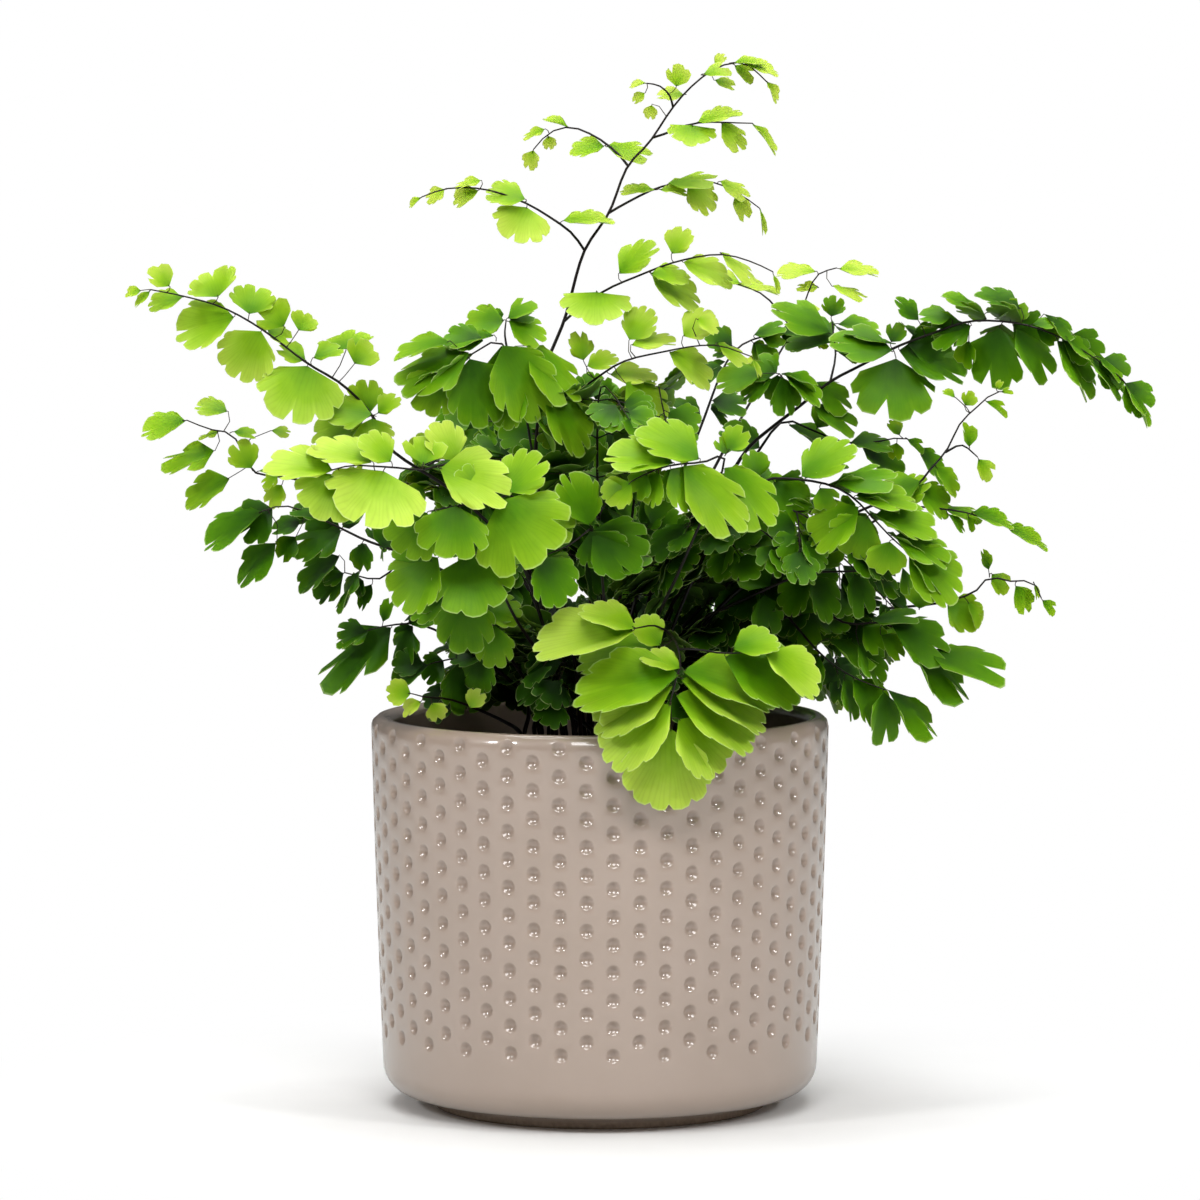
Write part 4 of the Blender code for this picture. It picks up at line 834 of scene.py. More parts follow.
scales = brown_scales()
scale_shelf = shelf("rootstock_scales", [scale_shape()])
rng = random.Random(3)
scale_places = []
for spot in dome_points():
    out = Vector((spot.x, spot.y, 0)).normalized()
    ahead = out * rng.uniform(0.6, 1.0) + Vector((0, 0, rng.uniform(0.1, 0.7)))
    ahead = (ahead + Vector((rng.uniform(-0.5, 0.5), rng.uniform(-0.5, 0.5), 0))).normalized()
    across = ahead.cross(UP).normalized()
    long = rng.uniform(2.2, 3.6) * MM
    scale_places.append((spot, ahead, across, (long, long, long), 1, 0.0))
scaly = point_mesh("rootstock_points", scale_places, [])
add_tree(scaly, plant_tree, plant_keys,
         {"Shapes": scale_shelf, "Shape material": scales, "Stalk material": scales})
rootstock = bake(scaly, "scaly_rootstock")
clear_shelf(scale_shelf)
mound = rootstock_body()
both = bmesh.new()
both.from_mesh(rootstock.data)
both.from_mesh(mound.data)
both.to_mesh(rootstock.data)
both.free()
bpy.data.objects.remove(mound, do_unlink=True)
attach(rootstock, "root")
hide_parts("rhizome")
print("rootstock:", len(rootstock.data.polygons), "faces, open edges:", open_edges(rootstock))

# %% [markdown]
# ## Where every frond runs
#
# The fronds that can be told apart from the front are laid out one by one: first the stem,
# then its side branches, then each leaflet with the way it points and how large it looks. The
# places are given in mm on the front elevation, with a depth, and are moved along the line of
# sight to that depth. The dense middle is filled by fronds that follow a seeded rule.

# %% Frond plan
SIGHT = Vector((0.0, -1.826, 0.296))  # m, the point from which the front elevation is drawn
LONG_STALK = 4.0  # mm, a leaf further than this from its branch has a stalk of its own
FRONDS = {}  # name: stem and side branches (x, z, depth), leaflets (x, z, way, length, width)

# the tall frond that stands over the rest
FRONDS["tall"] = (
    [(-21, 179, -12), (-19.9, 197.6, -12), (-16.8, 225.1, -10), (-10.7, 241, -8), (-4.7, 261.7, -8),
     (2.7, 273.1, -7), (8.5, 287.4, -6), (14.9, 294.4, -5), (22.2, 305.2, -4), (28.4, 312, -4),
     (36.3, 317.5, -4), (43.9, 318.4, -5), (51, 312.5, -8)],
    [[(-4.7, 261.7, -8), (-8.5, 266.9, -12), (-14.9, 271.6, -15), (-23.7, 276.6, -19), (-35.9, 280.4, -23),
      (-47.1, 280.4, -26), (-54.1, 278, -28)],
     [(8.5, 287.4, -6), (5.6, 290.9, -3), (-0.3, 295.6, 0), (-9, 299.1, 5), (-15.5, 297.3, 8),
      (-20.2, 292.4, 9)],
     [(22.2, 305.2, -4), (21, 309, -6), (17.9, 311.7, -7), (14.3, 312.4, -8)],
     [(-11.6, 240.2, -8), (-6, 244.4, -16), (2.4, 250, -22), (11.2, 253.8, -26), (22.9, 258.2, -30),
      (36.9, 260.5, -33), (46.3, 258.2, -35), (52.7, 255.2, -36)],
     [(2.7, 273.1, -7), (8.3, 276.3, -2), (19.4, 281.3, 4), (34.6, 282.4, 10), (46.3, 276.3, 12),
      (48.6, 274.5, 12)],
     [(16.5, 295.6, -5), (20.3, 297.3, -8), (28.7, 300.3, -12), (46.3, 300.3, -16)],
     [(-17.4, 213, -11), (-4.7, 220.4, -24), (6.4, 227.6, -30), (17.5, 230.5, -34), (35.1, 232.9, -38),
      (46.2, 229.4, -41)]],
    [(-11.4, 270.7, 5, 16, 4), (-22.2, 275.1, 250, 10, 19), (-22.5, 277.2, 165, 12.5, 8),
     (-36.8, 280.1, 205, 9, 6), (-36, 283, 188, 8.5, 3), (-47.1, 280.4, 210, 7, 5), (-54.1, 278, 215, 5, 2),
     (1.8, 293.2, -3, 14.5, 6.5), (1.5, 293.5, 185, 11, 6), (-9.3, 299.1, 157, 8.5, 2),
     (-16.6, 298.6, 198, 7.5, 3), (-15.8, 296.8, 280, 4.5, 4.7), (-20.2, 292.4, 255, 6.5, 5.8),
     (25.5, 309, 178, 8.5, 4.5), (23.1, 311.1, 80, 7.3, 8.2), (14.3, 312.6, 190, 5.5, 2),
     (13.8, 309.6, 215, 4.8, 3.5), (15.8, 306.1, 260, 4.7, 4.7), (-1.1, 249.4, 268, 7.5, 23),
     (5.6, 254.6, 45, 15, 9), (21.7, 260.5, 60, 9.5, 9), (15.3, 254.9, -6, 12, 6),
     (15.6, 254.3, 330, 18, 10), (25.2, 258.2, -20, 17, 8), (36.6, 261.1, -33, 15, 4.5),
     (52.7, 254.6, -70, 6, 2), (17, 280.1, 178, 11, 3), (18, 280.3, -5, 9, 3), (20.6, 281.8, 15, 15.5, 5),
     (26.7, 282.4, 315, 12, 10), (36.3, 282.7, -20, 10.5, 5), (41, 278.9, -62, 9, 6),
     (48.6, 274.5, -75, 8.5, 1.8), (28.1, 300, 265, 5, 15.8), (29.6, 300.6, 18, 14, 4.5),
     (36.6, 300.3, -40, 11, 7.5), (46.3, 300.3, -45, 12, 2.5), (34.6, 318.1, 45, 4.5, 3.5),
     (31.1, 315.2, 8, 9, 4.5), (34.6, 313.4, -15, 7, 3.8), (40.4, 318.7, 5, 10, 2.5),
     (43.9, 318.7, -15, 11, 4), (40.7, 318.1, -40, 8, 5), (50.6, 313.2, -60, 7.5, 3),
     (8.8, 234.3, 58, 12, 11), (9.4, 233, 12, 14, 5), (25.2, 235.5, 40, 12, 10), (29.2, 241, -25, 8, 6),
     (-5, 228, 100, 9.5, 8), (-4.1, 226.4, 20, 10, 6), (2.9, 224.1, 0, 15, 6), (21.1, 231.1, -35, 17, 9),
     (35.7, 233.6, -28, 11.5, 4.5), (46.5, 228.9, -65, 6.5, 2), (7.6, 221.5, -40, 18, 14)])
# the long yellow-green one out to the left
FRONDS["left_long"] = (
    [(-20, 160, -12), (-42, 186, -14), (-64.8, 202.1, -16), (-69.5, 211.5, -17), (-78.6, 220.9, -19),
     (-89.1, 227.3, -21), (-103.1, 237.8, -25), (-114.8, 244.3, -28), (-126.8, 247.8, -31),
     (-136.8, 249.8, -33)],
    [],
    [(-139.5, 249.6, 192, 5, 3.2), (-136.8, 249.4, 220, 6.5, 2.6), (-130.9, 250.6, 132, 8, 7.5),
     (-126.8, 247.6, 190, 10.5, 6), (-116.3, 247.5, 115, 9, 16), (-111.3, 241.6, 192, 18, 14),
     (-106.9, 242.2, 80, 9, 14), (-103.1, 237.4, 238, 16, 18), (-96.1, 238.4, 130, 9, 12),
     (-101.7, 237.8, -22, 8, 5), (-92, 237.2, 60, 6, 9), (-89.1, 226.9, 256, 15, 26),
     (-89.6, 228.2, 150, 9, 6), (-87.6, 229, 20, 9, 5), (-77.4, 231.4, 100, 6, 17), (-75, 227, 55, 8, 11),
     (-69.5, 211.5, 165, 15, 9), (-70, 212, 112, 10, 12), (-71.5, 210.6, 200, 17, 10),
     (-69.5, 210.8, 272, 9, 13), (-68, 212, 40, 8, 6), (-56, 196, 70, 10, 9)])
# sparse dark ones, left of the middle
FRONDS["left_mid"] = (
    [(-30, 158, -4), (-66, 184, -8), (-94.1, 192.2, -12), (-105.8, 194.3, -14), (-109.6, 201.5, -14),
     (-112.6, 205.8, -15), (-119.2, 207.3, -16), (-126, 210, -16)],
    [],
    [(-126.2, 210, 190, 15, 8), (-117.5, 200.7, 190, 18, 8), (-116, 206.6, 192, 7, 1.8),
     (-113.4, 212.7, 165, 10.5, 6), (-112, 206.5, -5, 7.5, 3.5), (-100.5, 206.8, 0, 6.2, 3.5),
     (-106.3, 195.1, 120, 10, 11), (-113, 192.5, 207, 17, 9), (-104.5, 194.4, 10, 7, 2.4),
     (-98.2, 193.7, 215, 6.5, 5), (-97, 190.5, 235, 8.5, 8), (-80, 188.5, 250, 9, 8), (-76, 188, 70, 9, 8)])
FRONDS["left_low"] = (
    [(-22, 142, -18), (-48, 164, -24), (-72.3, 173.6, -30), (-78.8, 176.8, -32), (-85.8, 180.1, -34),
     (-96.6, 183.9, -37), (-103.1, 182.2, -38)],
    [[(-60, 168.6, -27), (-67, 161.6, -28), (-78, 163.4, -29)]],
    [(-103.1, 182.2, 205, 19, 8), (-91.3, 178.6, 190, 8.5, 5), (-85.8, 180.6, 165, 8, 3),
     (-98.7, 172.4, 222, 16, 8), (-92.8, 174.6, 232, 8, 7), (-78.8, 176.3, 197, 15, 10),
     (-79.6, 168.8, 215, 15, 7), (-72.6, 172.6, 268, 8, 7), (-78.4, 178, 60, 10, 7),
     (-78, 163.2, 200, 6.5, 4), (-73.5, 164, 235, 13, 2.5), (-69.6, 160, 240, 8, 4), (-66, 170.4, 80, 8, 8),
     (-58, 166, 265, 10, 10)])
# the pale spray nearest the front, left of the middle
FRONDS["spray"] = (
    [(-14, 136, -34), (-26, 172, -56), (-40, 197, -70), (-48, 196.4, -76), (-53.8, 194.9, -79),
     (-63.1, 195.6, -83), (-70.1, 196, -85), (-75.9, 196.2, -87), (-81.8, 194.8, -89)],
    [],
    [(-81.4, 195, 172, 19, 8), (-69.4, 197.4, 163, 18, 6.5), (-63.6, 197.2, 135, 11, 8),
     (-79.6, 193.6, 246, 12, 19), (-66, 194.8, 252, 13, 27), (-49, 195.4, -16, 21, 15),
     (-68.6, 187.5, 250, 7, 5), (-44, 197.6, 118, 12, 10), (-54, 196.4, 84, 8, 12)])
# the upper one left of the tall stem, dark on top and bright below
FRONDS["upper"] = (
    [(-12, 150, -22), (-19, 190, -32), (-26, 226, -40), (-31, 234, -43), (-38.6, 230.4, -46),
     (-46.8, 225.4, -49)],
    [[(-28, 231.5, -41), (-29, 236.5, -38), (-28.6, 240.4, -36)]],
    [(-29, 240.6, 185, 11, 9), (-28.4, 241, 30, 9, 5), (-28.1, 240.2, -20, 11.5, 8),
     (-32.2, 236, 185, 14, 4), (-45.6, 234.2, 190, 16, 4.5), (-39.6, 230.3, 198, 22, 12),
     (-47.4, 224.8, 236, 13, 16), (-39.8, 229, 285, 19.5, 19), (-29.8, 233, 298, 23, 19),
     (-22.5, 232.7, 320, 21, 11), (-16.1, 218.7, 305, 20, 12), (-24, 222, 240, 14, 12)])
# big leaves at the front of the middle
FRONDS["front_a"] = (
    [(-8, 138, -40), (-18, 166, -62), (-26, 187, -74), (-31, 186.2, -77), (-38, 184.6, -79),
     (-46, 183.4, -81), (-52, 182.2, -82)],
    [],
    [(-28.5, 188, 50, 14, 12), (-31, 185.3, 308, 20, 28), (-44, 184, 262, 14, 20), (-52.6, 182, 235, 14, 17),
     (-36, 186.4, 118, 10, 9), (-22, 178, 10, 13, 12)])
FRONDS["front_b"] = (
    [(2, 134, -38), (1, 158, -58), (-2, 176.8, -66), (-9, 172, -70), (-17, 168.6, -73)],
    [],
    [(-2.9, 177.6, 110, 16, 12), (-2.4, 176.6, 325, 17, 19), (-18.4, 168.4, 300, 15, 14),
     (-10, 170.6, 120, 9, 8), (2.6, 166, 20, 12, 10)])
FRONDS["front_c"] = (
    [(-14, 130, -32), (-26, 150, -52), (-36, 168.6, -64), (-40.7, 169.2, -68), (-48.9, 168.4, -71)],
    [],
    [(-40.7, 168.9, 282, 15, 24), (-49.3, 168.2, 226, 18, 16), (-34, 166, 25, 10, 9)])
FRONDS["front_d"] = (
    [(-18, 126, -30), (-30, 142, -46), (-38, 156, -54), (-41, 157.6, -56), (-46, 156.6, -59)],
    [],
    [(-40.7, 157.2, 263, 17, 18), (-46.6, 156.6, 205, 12, 9), (-35, 152, 0, 10, 9),
     (-32, 147.4, 262, 12, 12)])
# the bright drooping one, right of the middle
FRONDS["right_bright"] = (
    [(12, 136, -36), (26, 168, -56), (38, 199, -66), (31.6, 197.2, -71), (23.4, 196.5, -74),
     (16.6, 194.8, -77), (9.7, 191.4, -79)],
    [],
    [(30.6, 198.2, 150, 19, 11), (22.6, 197, 168, 19, 9), (18, 194.4, 250, 10, 7),
     (21.4, 195.4, 308, 13.5, 12), (25, 195.9, 320, 25, 15), (37.6, 195.4, 318, 21, 14),
     (9.7, 191.1, 215, 9, 10), (39, 200.4, 60, 8, 8)])
# the long dark one that reaches the far right
FRONDS["right_long"] = (
    [(16, 150, -2), (38, 190, 2), (45.3, 201.6, 3), (50.9, 206.6, 3), (61.4, 214.7, 3), (70.2, 221.8, 2),
     (79.5, 226.7, 1), (90, 232.2, 0), (102.4, 236.9, -2), (111.7, 240, -3), (120.3, 240.3, -4),
     (130.3, 238.9, -6), (140.2, 235.3, -8), (150.2, 229.3, -10), (158.8, 222.9, -12), (161, 220.4, -12)],
    [[(61.4, 214.7, 3), (58, 220, -6), (54.7, 224.2, -10)],
     [(70.2, 221.8, 2), (71.8, 229.8, 10), (71.2, 236, 14), (70.6, 240.5, 16)]],
    [(89.2, 230.9, 165, 18, 9), (90.2, 229, 265, 16, 24), (91, 231.6, -15, 20, 11), (88.5, 233.6, 60, 6, 6),
     (97.1, 240.2, 130, 9, 5), (107.1, 241.2, 172, 9, 5), (113.2, 238.9, 200, 12, 7),
     (121.7, 238.3, 263, 17, 17), (126.4, 237.7, 310, 17, 10), (125, 240.6, 60, 6, 8),
     (116.4, 242.8, 150, 12, 3.2), (117.4, 242.6, 28, 9, 4), (128.3, 244, 155, 13, 5),
     (135.2, 242.4, -30, 11, 4), (131.6, 239.2, 6, 6, 3), (139.4, 234.6, 307, 19, 8),
     (141.7, 235.7, -36, 12, 4), (149.7, 228.9, 315, 14, 5), (152, 229.3, -40, 9, 3),
     (160, 221.6, -53, 14, 4), (112.4, 234.5, 262, 8, 6), (52.6, 222.8, 208, 10, 6), (55, 223.2, 288, 11, 9),
     (49.5, 224.3, 188, 13, 8), (56.4, 224.4, -35, 13, 6), (64.8, 221.6, -30, 13, 8),
     (64.9, 214.6, -26, 14, 7), (70.1, 236.4, 150, 18, 8), (70.4, 241.3, 78, 6, 7), (72.4, 239.5, -5, 12, 4),
     (71.6, 231, 20, 8, 5)])
FRONDS["right_mid"] = (
    [(22, 146, -24), (38.3, 180, -34), (50, 191.5, -38), (56.7, 192.2, -40), (70.2, 190.2, -43),
     (77, 186.6, -45), (83.2, 180.3, -47), (89.2, 174, -49), (94, 169.8, -50)],
    [],
    [(71.9, 190.7, 14, 17, 7), (78, 187, -4, 17, 7), (84, 181.5, -12, 18, 9), (90, 174.9, -20, 17, 9),
     (94.2, 169.6, -40, 19, 15), (79.2, 183.6, 215, 17, 12), (81.8, 180.6, 236, 12, 16),
     (88.6, 173.2, 258, 9.5, 12), (67, 189.6, 298, 7, 8), (53, 191.4, 306, 16, 13),
     (61.4, 192.6, 36, 17, 10), (46, 190, -10, 17, 7), (48, 192, 100, 8, 8)])
FRONDS["right_twig"] = (
    [(26, 140, -12), (60, 172, -16), (88, 186, -20), (95.5, 188.9, -20), (101.8, 196.2, -19),
     (105.4, 200.2, -18), (110.4, 209.8, -16), (114.4, 213.4, -15), (117.7, 216.7, -14),
     (121.7, 218.7, -13)],
    [[(105.4, 200.2, -18), (110.4, 202.4, -20), (115.2, 198.8, -22)]],
    [(111.2, 214.2, 60, 4.5, 5), (108.6, 216.8, 148, 4, 2), (117.5, 216, -30, 7.5, 2.8),
     (120.8, 219.4, 60, 2.8, 2), (122, 218.7, 0, 3.5, 1.8), (112.8, 201.6, 95, 7, 4.5),
     (115.4, 198.4, 300, 7, 5.5), (98, 191.4, 200, 14, 8), (97.2, 190.4, -42, 12, 8),
     (102.4, 196, -48, 10, 5)])
FRONDS["right_twig_b"] = (
    [(22, 152, 12), (48, 200, 13), (56.4, 209.8, 12), (65, 206.8, 10), (75.2, 203.2, 8), (84, 203.4, 6),
     (92.8, 204.6, 5), (97.1, 202.1, 4)],
    [],
    [(57.6, 209, -30, 18, 4), (76, 203.2, -2, 12, 4.5), (79.8, 202.6, -35, 15, 8), (91.6, 205.2, 122, 5, 4),
     (93.6, 204.4, -35, 6, 3), (90.6, 203.4, 262, 5, 5), (97.3, 201.8, 310, 12, 5), (66, 207.4, 60, 8, 7),
     (49, 201.5, 150, 12, 9)])
FRONDS["right_edge"] = (
    [(30, 134, -6), (68, 168, -14), (92, 183, -18), (104.4, 182.9, -20), (113.7, 181.3, -22),
     (123.6, 177.6, -24)],
    [],
    [(104, 183.6, -7, 13, 3), (113.7, 182, -15, 12, 4), (124, 177.5, -23, 13, 3.6),
     (106.1, 181.6, -42, 7, 2.4), (112.4, 180.8, -68, 4.5, 3), (92.5, 183, -58, 10, 8),
     (89.5, 183.6, 45, 12, 8)])
# light green, over the rim at the front
FRONDS["over_rim"] = (
    [(8, 130, -30), (19, 146, -50), (24, 141, -66), (24.4, 133.1, -75), (22.4, 129.7, -77),
     (22.8, 126.6, -79), (21.2, 123.2, -80), (22.2, 118, -81), (22, 116, -81)],
    [[(22.2, 145.4, -56), (16, 147.2, -66), (10.4, 146.2, -72)],
     [(24.2, 139.4, -68), (30, 139.8, -72), (38.2, 138.6, -75), (49, 139.4, -77)]],
    [(17.6, 139.6, 187, 30, 11), (10.4, 145.7, 185, 28, 10), (18.8, 141, 130, 10, 7),
     (11, 146.4, 158, 16, 5), (25, 134.2, 160, 11.5, 4), (24.2, 132.4, 190, 30, 12),
     (22.3, 129.1, 205, 25, 12), (21.7, 123, 217, 24, 15), (21.8, 115.6, 264, 23, 21),
     (24, 118.6, 315, 19, 14), (23.4, 126.2, -30, 26, 11), (24.9, 131, -25, 27, 9),
     (25.4, 133.6, -15, 27, 9), (38.2, 137.8, -25, 24, 13), (40.4, 140.2, 12, 13, 6),
     (50.2, 139.4, -32, 19, 8)])
FRONDS["right_low"] = (
    [(24, 132, -4), (50, 147, -12), (67, 151.5, -17), (76.1, 147.6, -20), (82.7, 148, -22),
     (88.2, 147.6, -24), (95, 142, -26), (100, 139, -27)],
    [[(58, 149.5, -14), (68, 138, -20), (77, 131.6, -24), (87.4, 127.4, -27)]],
    [(69.4, 143.1, -20, 16, 5), (79, 141.8, -52, 13, 8), (89, 147.1, -20, 18, 12), (83, 148.7, 10, 13, 4),
     (80.3, 147, -46, 9, 8), (85.8, 144.5, -40, 9, 6), (94.4, 141.6, -38, 23, 9), (100.4, 138.9, -12, 23, 9),
     (77.5, 130.9, -52, 16, 10), (88, 127.4, -38, 19, 7), (86.6, 127, 276, 15, 10), (74.6, 131, 292, 12, 6),
     (67, 138.6, 240, 13, 11), (61, 150.4, 62, 9, 9)])
FRONDS["right_low_b"] = (
    [(22, 142, -16), (48, 157, -26), (63, 163, -30), (77.3, 163.8, -34), (84, 164.2, -36),
     (92.1, 165.6, -37)],
    [],
    [(77.5, 163.2, 290, 12.5, 9), (84.4, 163.8, -42, 9.5, 4), (92.3, 165.2, 290, 8, 4),
     (63.1, 162.4, 238, 12, 9), (64.5, 162.6, 300, 14, 9), (52, 159, 130, 14, 12), (66, 164.6, 50, 9, 8),
     (50, 156.8, 280, 12, 10)])
FRONDS["right_sparse"] = (
    [(26, 136, 4), (62, 150, 0), (90, 152.6, -4), (105.4, 154.4, -6), (114.8, 157.7, -8), (119, 162, -9),
     (124.4, 160.8, -10), (132.3, 160.4, -11), (134.9, 155.6, -12)],
    [],
    [(118.8, 164, 102, 6, 3.4), (119.6, 163.2, -50, 7, 6), (126.9, 159.6, -60, 8.5, 6.5),
     (132.7, 160.2, -72, 4.5, 1.8), (135.1, 155.2, -48, 5.5, 3.5), (106, 154, -28, 11, 11),
     (97.6, 152, 84, 9, 10), (112.4, 154.6, -62, 8, 4), (88, 152, 276, 9, 8)])
# dark, low on the left
FRONDS["left_rim"] = (
    [(-20, 124, -14), (-38, 139, -24), (-54, 147.4, -32), (-63.3, 147.4, -36), (-70.3, 145.9, -38)],
    [[(-34, 136, -21), (-44, 137, -30), (-52, 135.4, -36)]],
    [(-63.7, 146.6, 215, 26, 12), (-70.5, 145.7, 198, 10, 4), (-66.4, 148, 75, 7, 4),
     (-59, 147.8, 28, 11, 7), (-57.7, 146.4, 248, 11, 8), (-52.4, 135.2, 200, 11.5, 6),
     (-47.6, 136.4, 222, 8, 7), (-43.1, 136.2, 285, 15, 15), (-44, 138, 80, 9, 9),
     (-36, 138.6, 262, 11, 10)])
FRONDS["rim_sprout"] = (
    [(-30, 118, -20), (-46, 124.5, -36), (-53.6, 125.2, -44), (-57.4, 126.2, -47)],
    [],
    [(-57.6, 126.2, 172, 7, 8), (-54.6, 124, 212, 6.5, 4), (-51.6, 123.6, 298, 5.5, 6.5),
     (-40, 121.6, 60, 6, 6)])
# behind, seen over the others
FRONDS["back_pale"] = (
    [(14, 150, 30), (40, 205, 64), (60, 240, 84), (66, 254, 92), (72, 256.4, 98)],
    [[(58, 238, 83), (50, 248, 88), (42, 251.5, 92)]],
    [(66, 255.4, 178, 11, 4), (72.6, 256.2, 0, 11, 3.6), (66.6, 250.4, 176, 6, 3),
     (70.6, 250.9, -12, 10, 2.8), (41.6, 251.4, -4, 12, 2.4), (43, 251.8, 170, 8, 4), (58, 240, 20, 9, 6),
     (48, 221, 120, 9, 8)])
FRONDS["back_dark"] = (
    [(10, 152, 14), (30, 206, 34), (40.9, 231, 46), (50, 235.6, 52), (63.8, 236.4, 58)],
    [],
    [(40.5, 232.6, 150, 8, 8), (46.8, 235.8, 22, 9, 4), (54.4, 237, 2, 9.5, 4), (64, 236.3, -10, 8, 4),
     (47, 233.4, -38, 9, 6), (38, 226, 196, 10, 6), (34, 216, -8, 10, 7), (31, 210, 150, 10, 8)])

OUTLINE = [  # height, and how far the filling fronds may reach to the left and right, in mm
    (108, -60, 62), (120, -60, 72), (135, -60, 88), (150, -62, 98), (165, -70, 98), (180, -70, 88),
    (195, -62, 80), (210, -58, 76), (225, -48, 70), (237, -38, 60),
]
FILL_SEED = 20
FILL_COUNT = 26  # tried; some find no room
REACHES = [(40, 62), (76, 102), (64, 96), (38, 70)]  # mm outwards, for each of the four tiers
TOPS = [(136, 152), (144, 160), (174, 200), (208, 226)]  # mm, height of the bend
DROPS = [(2, 8), (8, 22), (6, 20), (2, 10)]  # mm, from there down to the tip

leaflet_count = sum(len(plan[2]) for plan in FRONDS.values())
print("laid out:", len(FRONDS), "fronds,", leaflet_count, "leaflets")

# %% [markdown]
# ## Smooth stems
#
# A stem is a smooth line through its points. A centripetal Catmull-Rom curve is used, because
# it doesn't swing out where the points stand close together.

# %% Curves for stems
def place(x, z, y):
    """The point at depth y that stands at x, z on the front elevation, and its scale there."""
    k = (y * MM - SIGHT.y) / -SIGHT.y
    return Vector((x * MM * k, y * MM, SIGHT.z + (z * MM - SIGHT.z) * k)), k


def elevation(p):
    """Where a point stands on the front elevation, in mm."""
    k = (p.y - SIGHT.y) / -SIGHT.y
    return p.x / k / MM, (SIGHT.z + (p.z - SIGHT.z) / k) / MM


def crown_height(r):
    """Height of the rootstock's top at a distance from its middle, in metres."""
    return (MIX_TOP + CROWN_H * (1 - (r / (CROWN_R * MM)) ** 2)) * MM + GAP


def smooth(points, steps=6):
    """A centripetal Catmull-Rom curve; it doesn't overshoot where the points' spacing changes."""
    if len(points) < 3:
        return list(points)
    ends = [points[0] * 2 - points[1]] + list(points) + [points[-1] * 2 - points[-2]]
    out = []
    for i in range(1, len(ends) - 2):
        a, b, c, d = ends[i - 1:i + 3]
        t0 = 0.0
        t1 = t0 + math.sqrt((b - a).length)
        t2 = t1 + math.sqrt((c - b).length)
        t3 = t2 + math.sqrt((d - c).length)
        for s in range(steps):
            t = t1 + (t2 - t1) * s / steps
            ab = a.lerp(b, (t - t0) / (t1 - t0))
            bc = b.lerp(c, (t - t1) / (t2 - t1))
            cd = c.lerp(d, (t - t2) / (t3 - t2))
            abc = ab.lerp(bc, (t - t0) / (t2 - t0))
            bcd = bc.lerp(cd, (t - t1) / (t3 - t1))
            out.append(abc.lerp(bcd, (t - t1) / (t2 - t1)))
    return out + [points[-1]]


class Path:
    """A smooth line with lengths along it."""

    def __init__(self, points):
        self.pts = smooth(points)
        self.at = [0.0]
        for a, b in zip(self.pts, self.pts[1:]):
            self.at.append(self.at[-1] + (b - a).length)
        self.length = self.at[-1]

    def point(self, s):
        s = min(max(s, 0.0), self.length)
        for i in range(len(self.at) - 1):
            if s <= self.at[i + 1]:
                span = self.at[i + 1] - self.at[i]
                return self.pts[i].lerp(self.pts[i + 1], (s - self.at[i]) / span if span else 0.0)
        return self.pts[-1].copy()

    def ahead(self, s, step):
        """The way that the line runs at a distance along it."""
        return (self.point(s + step) - self.point(s - step)).normalized()

    def nearest(self, p, start):
        """How far along the line, past start, it comes nearest to a point."""
        best = (1e9, 0.0)
        for i in range(len(self.pts) - 1):
            a, b = self.pts[i], self.pts[i + 1]
            ab = b - a
            t = min(max((p - a).dot(ab) / max(ab.length_squared, 1e-12), 0.0), 1.0)
            s = self.at[i] + ab.length * t
            if s >= start:
                gap = (a + ab * t - p).length
                if gap < best[0]:
                    best = (gap, s)
        return best[1]


tall_stem = Path([place(x, z, y)[0] for x, z, y in FRONDS["tall"][0]])
print("the tall frond's laid-out stem is", round(tall_stem.length / MM), "mm long")

# %% [markdown]
# ## Leaves as places
#
# Before a leaflet gets its shape it is only a place: a base, the way it points, the way its
# width runs, and two sizes. From the front a leaflet that is tipped away looks short, and one
# that is rolled looks narrow, so those two angles are worked out from how large it looks.

# %% Leaf places
FAN = [(-0.5, 0.55), (-0.29, 0.95), (0.29, 0.95), (0.5, 0.55)]  # corners, as shares of the size
WIDEST = 20.0  # mm
SLENDER = 1.35  # how many times wider than long a leaflet may be


class Leaf:
    """A leaf's place: base point, the way it points, the way its width runs, length and width."""

    def __init__(self, base, ahead, across, length, width):
        self.base, self.ahead, self.across = base, ahead.normalized(), across.normalized()
        self.length, self.width = length, width

    def turned(self, lean, roll, scale, nearer):
        """The leaf tipped, rolled, scaled, and moved towards the viewing point."""
        ahead = Matrix.Rotation(math.radians(lean), 3, self.across) @ self.ahead
        across = Matrix.Rotation(math.radians(roll), 3, ahead) @ self.across
        base = self.base + (SIGHT - self.base).normalized() * (nearer * MM)
        return Leaf(base, ahead, across, self.length * scale, self.width * scale)

    def outline(self, grow=0.0):
        wide, long = self.width + 2 * grow, self.length + grow
        return [self.base + self.across * (u * wide) + self.ahead * (v * long) for u, v in FAN]

    def solid(self, half, grow, skip, root=None):
        """The leaf as a prism for clash tests: from its root, or without its first few mm."""
        near = min(skip / self.length, 0.45)
        edge = self.outline(grow)
        if root is None:
            neck = [self.base + (end - self.base) * near for end in (edge[0], edge[3])]
        else:
            side = (edge[3] - edge[0]).normalized() * 0.0005
            neck = [root - side, root + side]
        ring = [neck[0]] + edge + [neck[1]]
        n = self.ahead.cross(self.across).normalized() * half
        verts = [p + n for p in ring] + [p - n for p in ring]
        c = len(ring)
        faces = [tuple(range(c)), tuple(range(2 * c - 1, c - 1, -1))]
        faces += [(i, (i + 1) % c, c + (i + 1) % c, c + i) for i in range(c)]
        return verts, faces


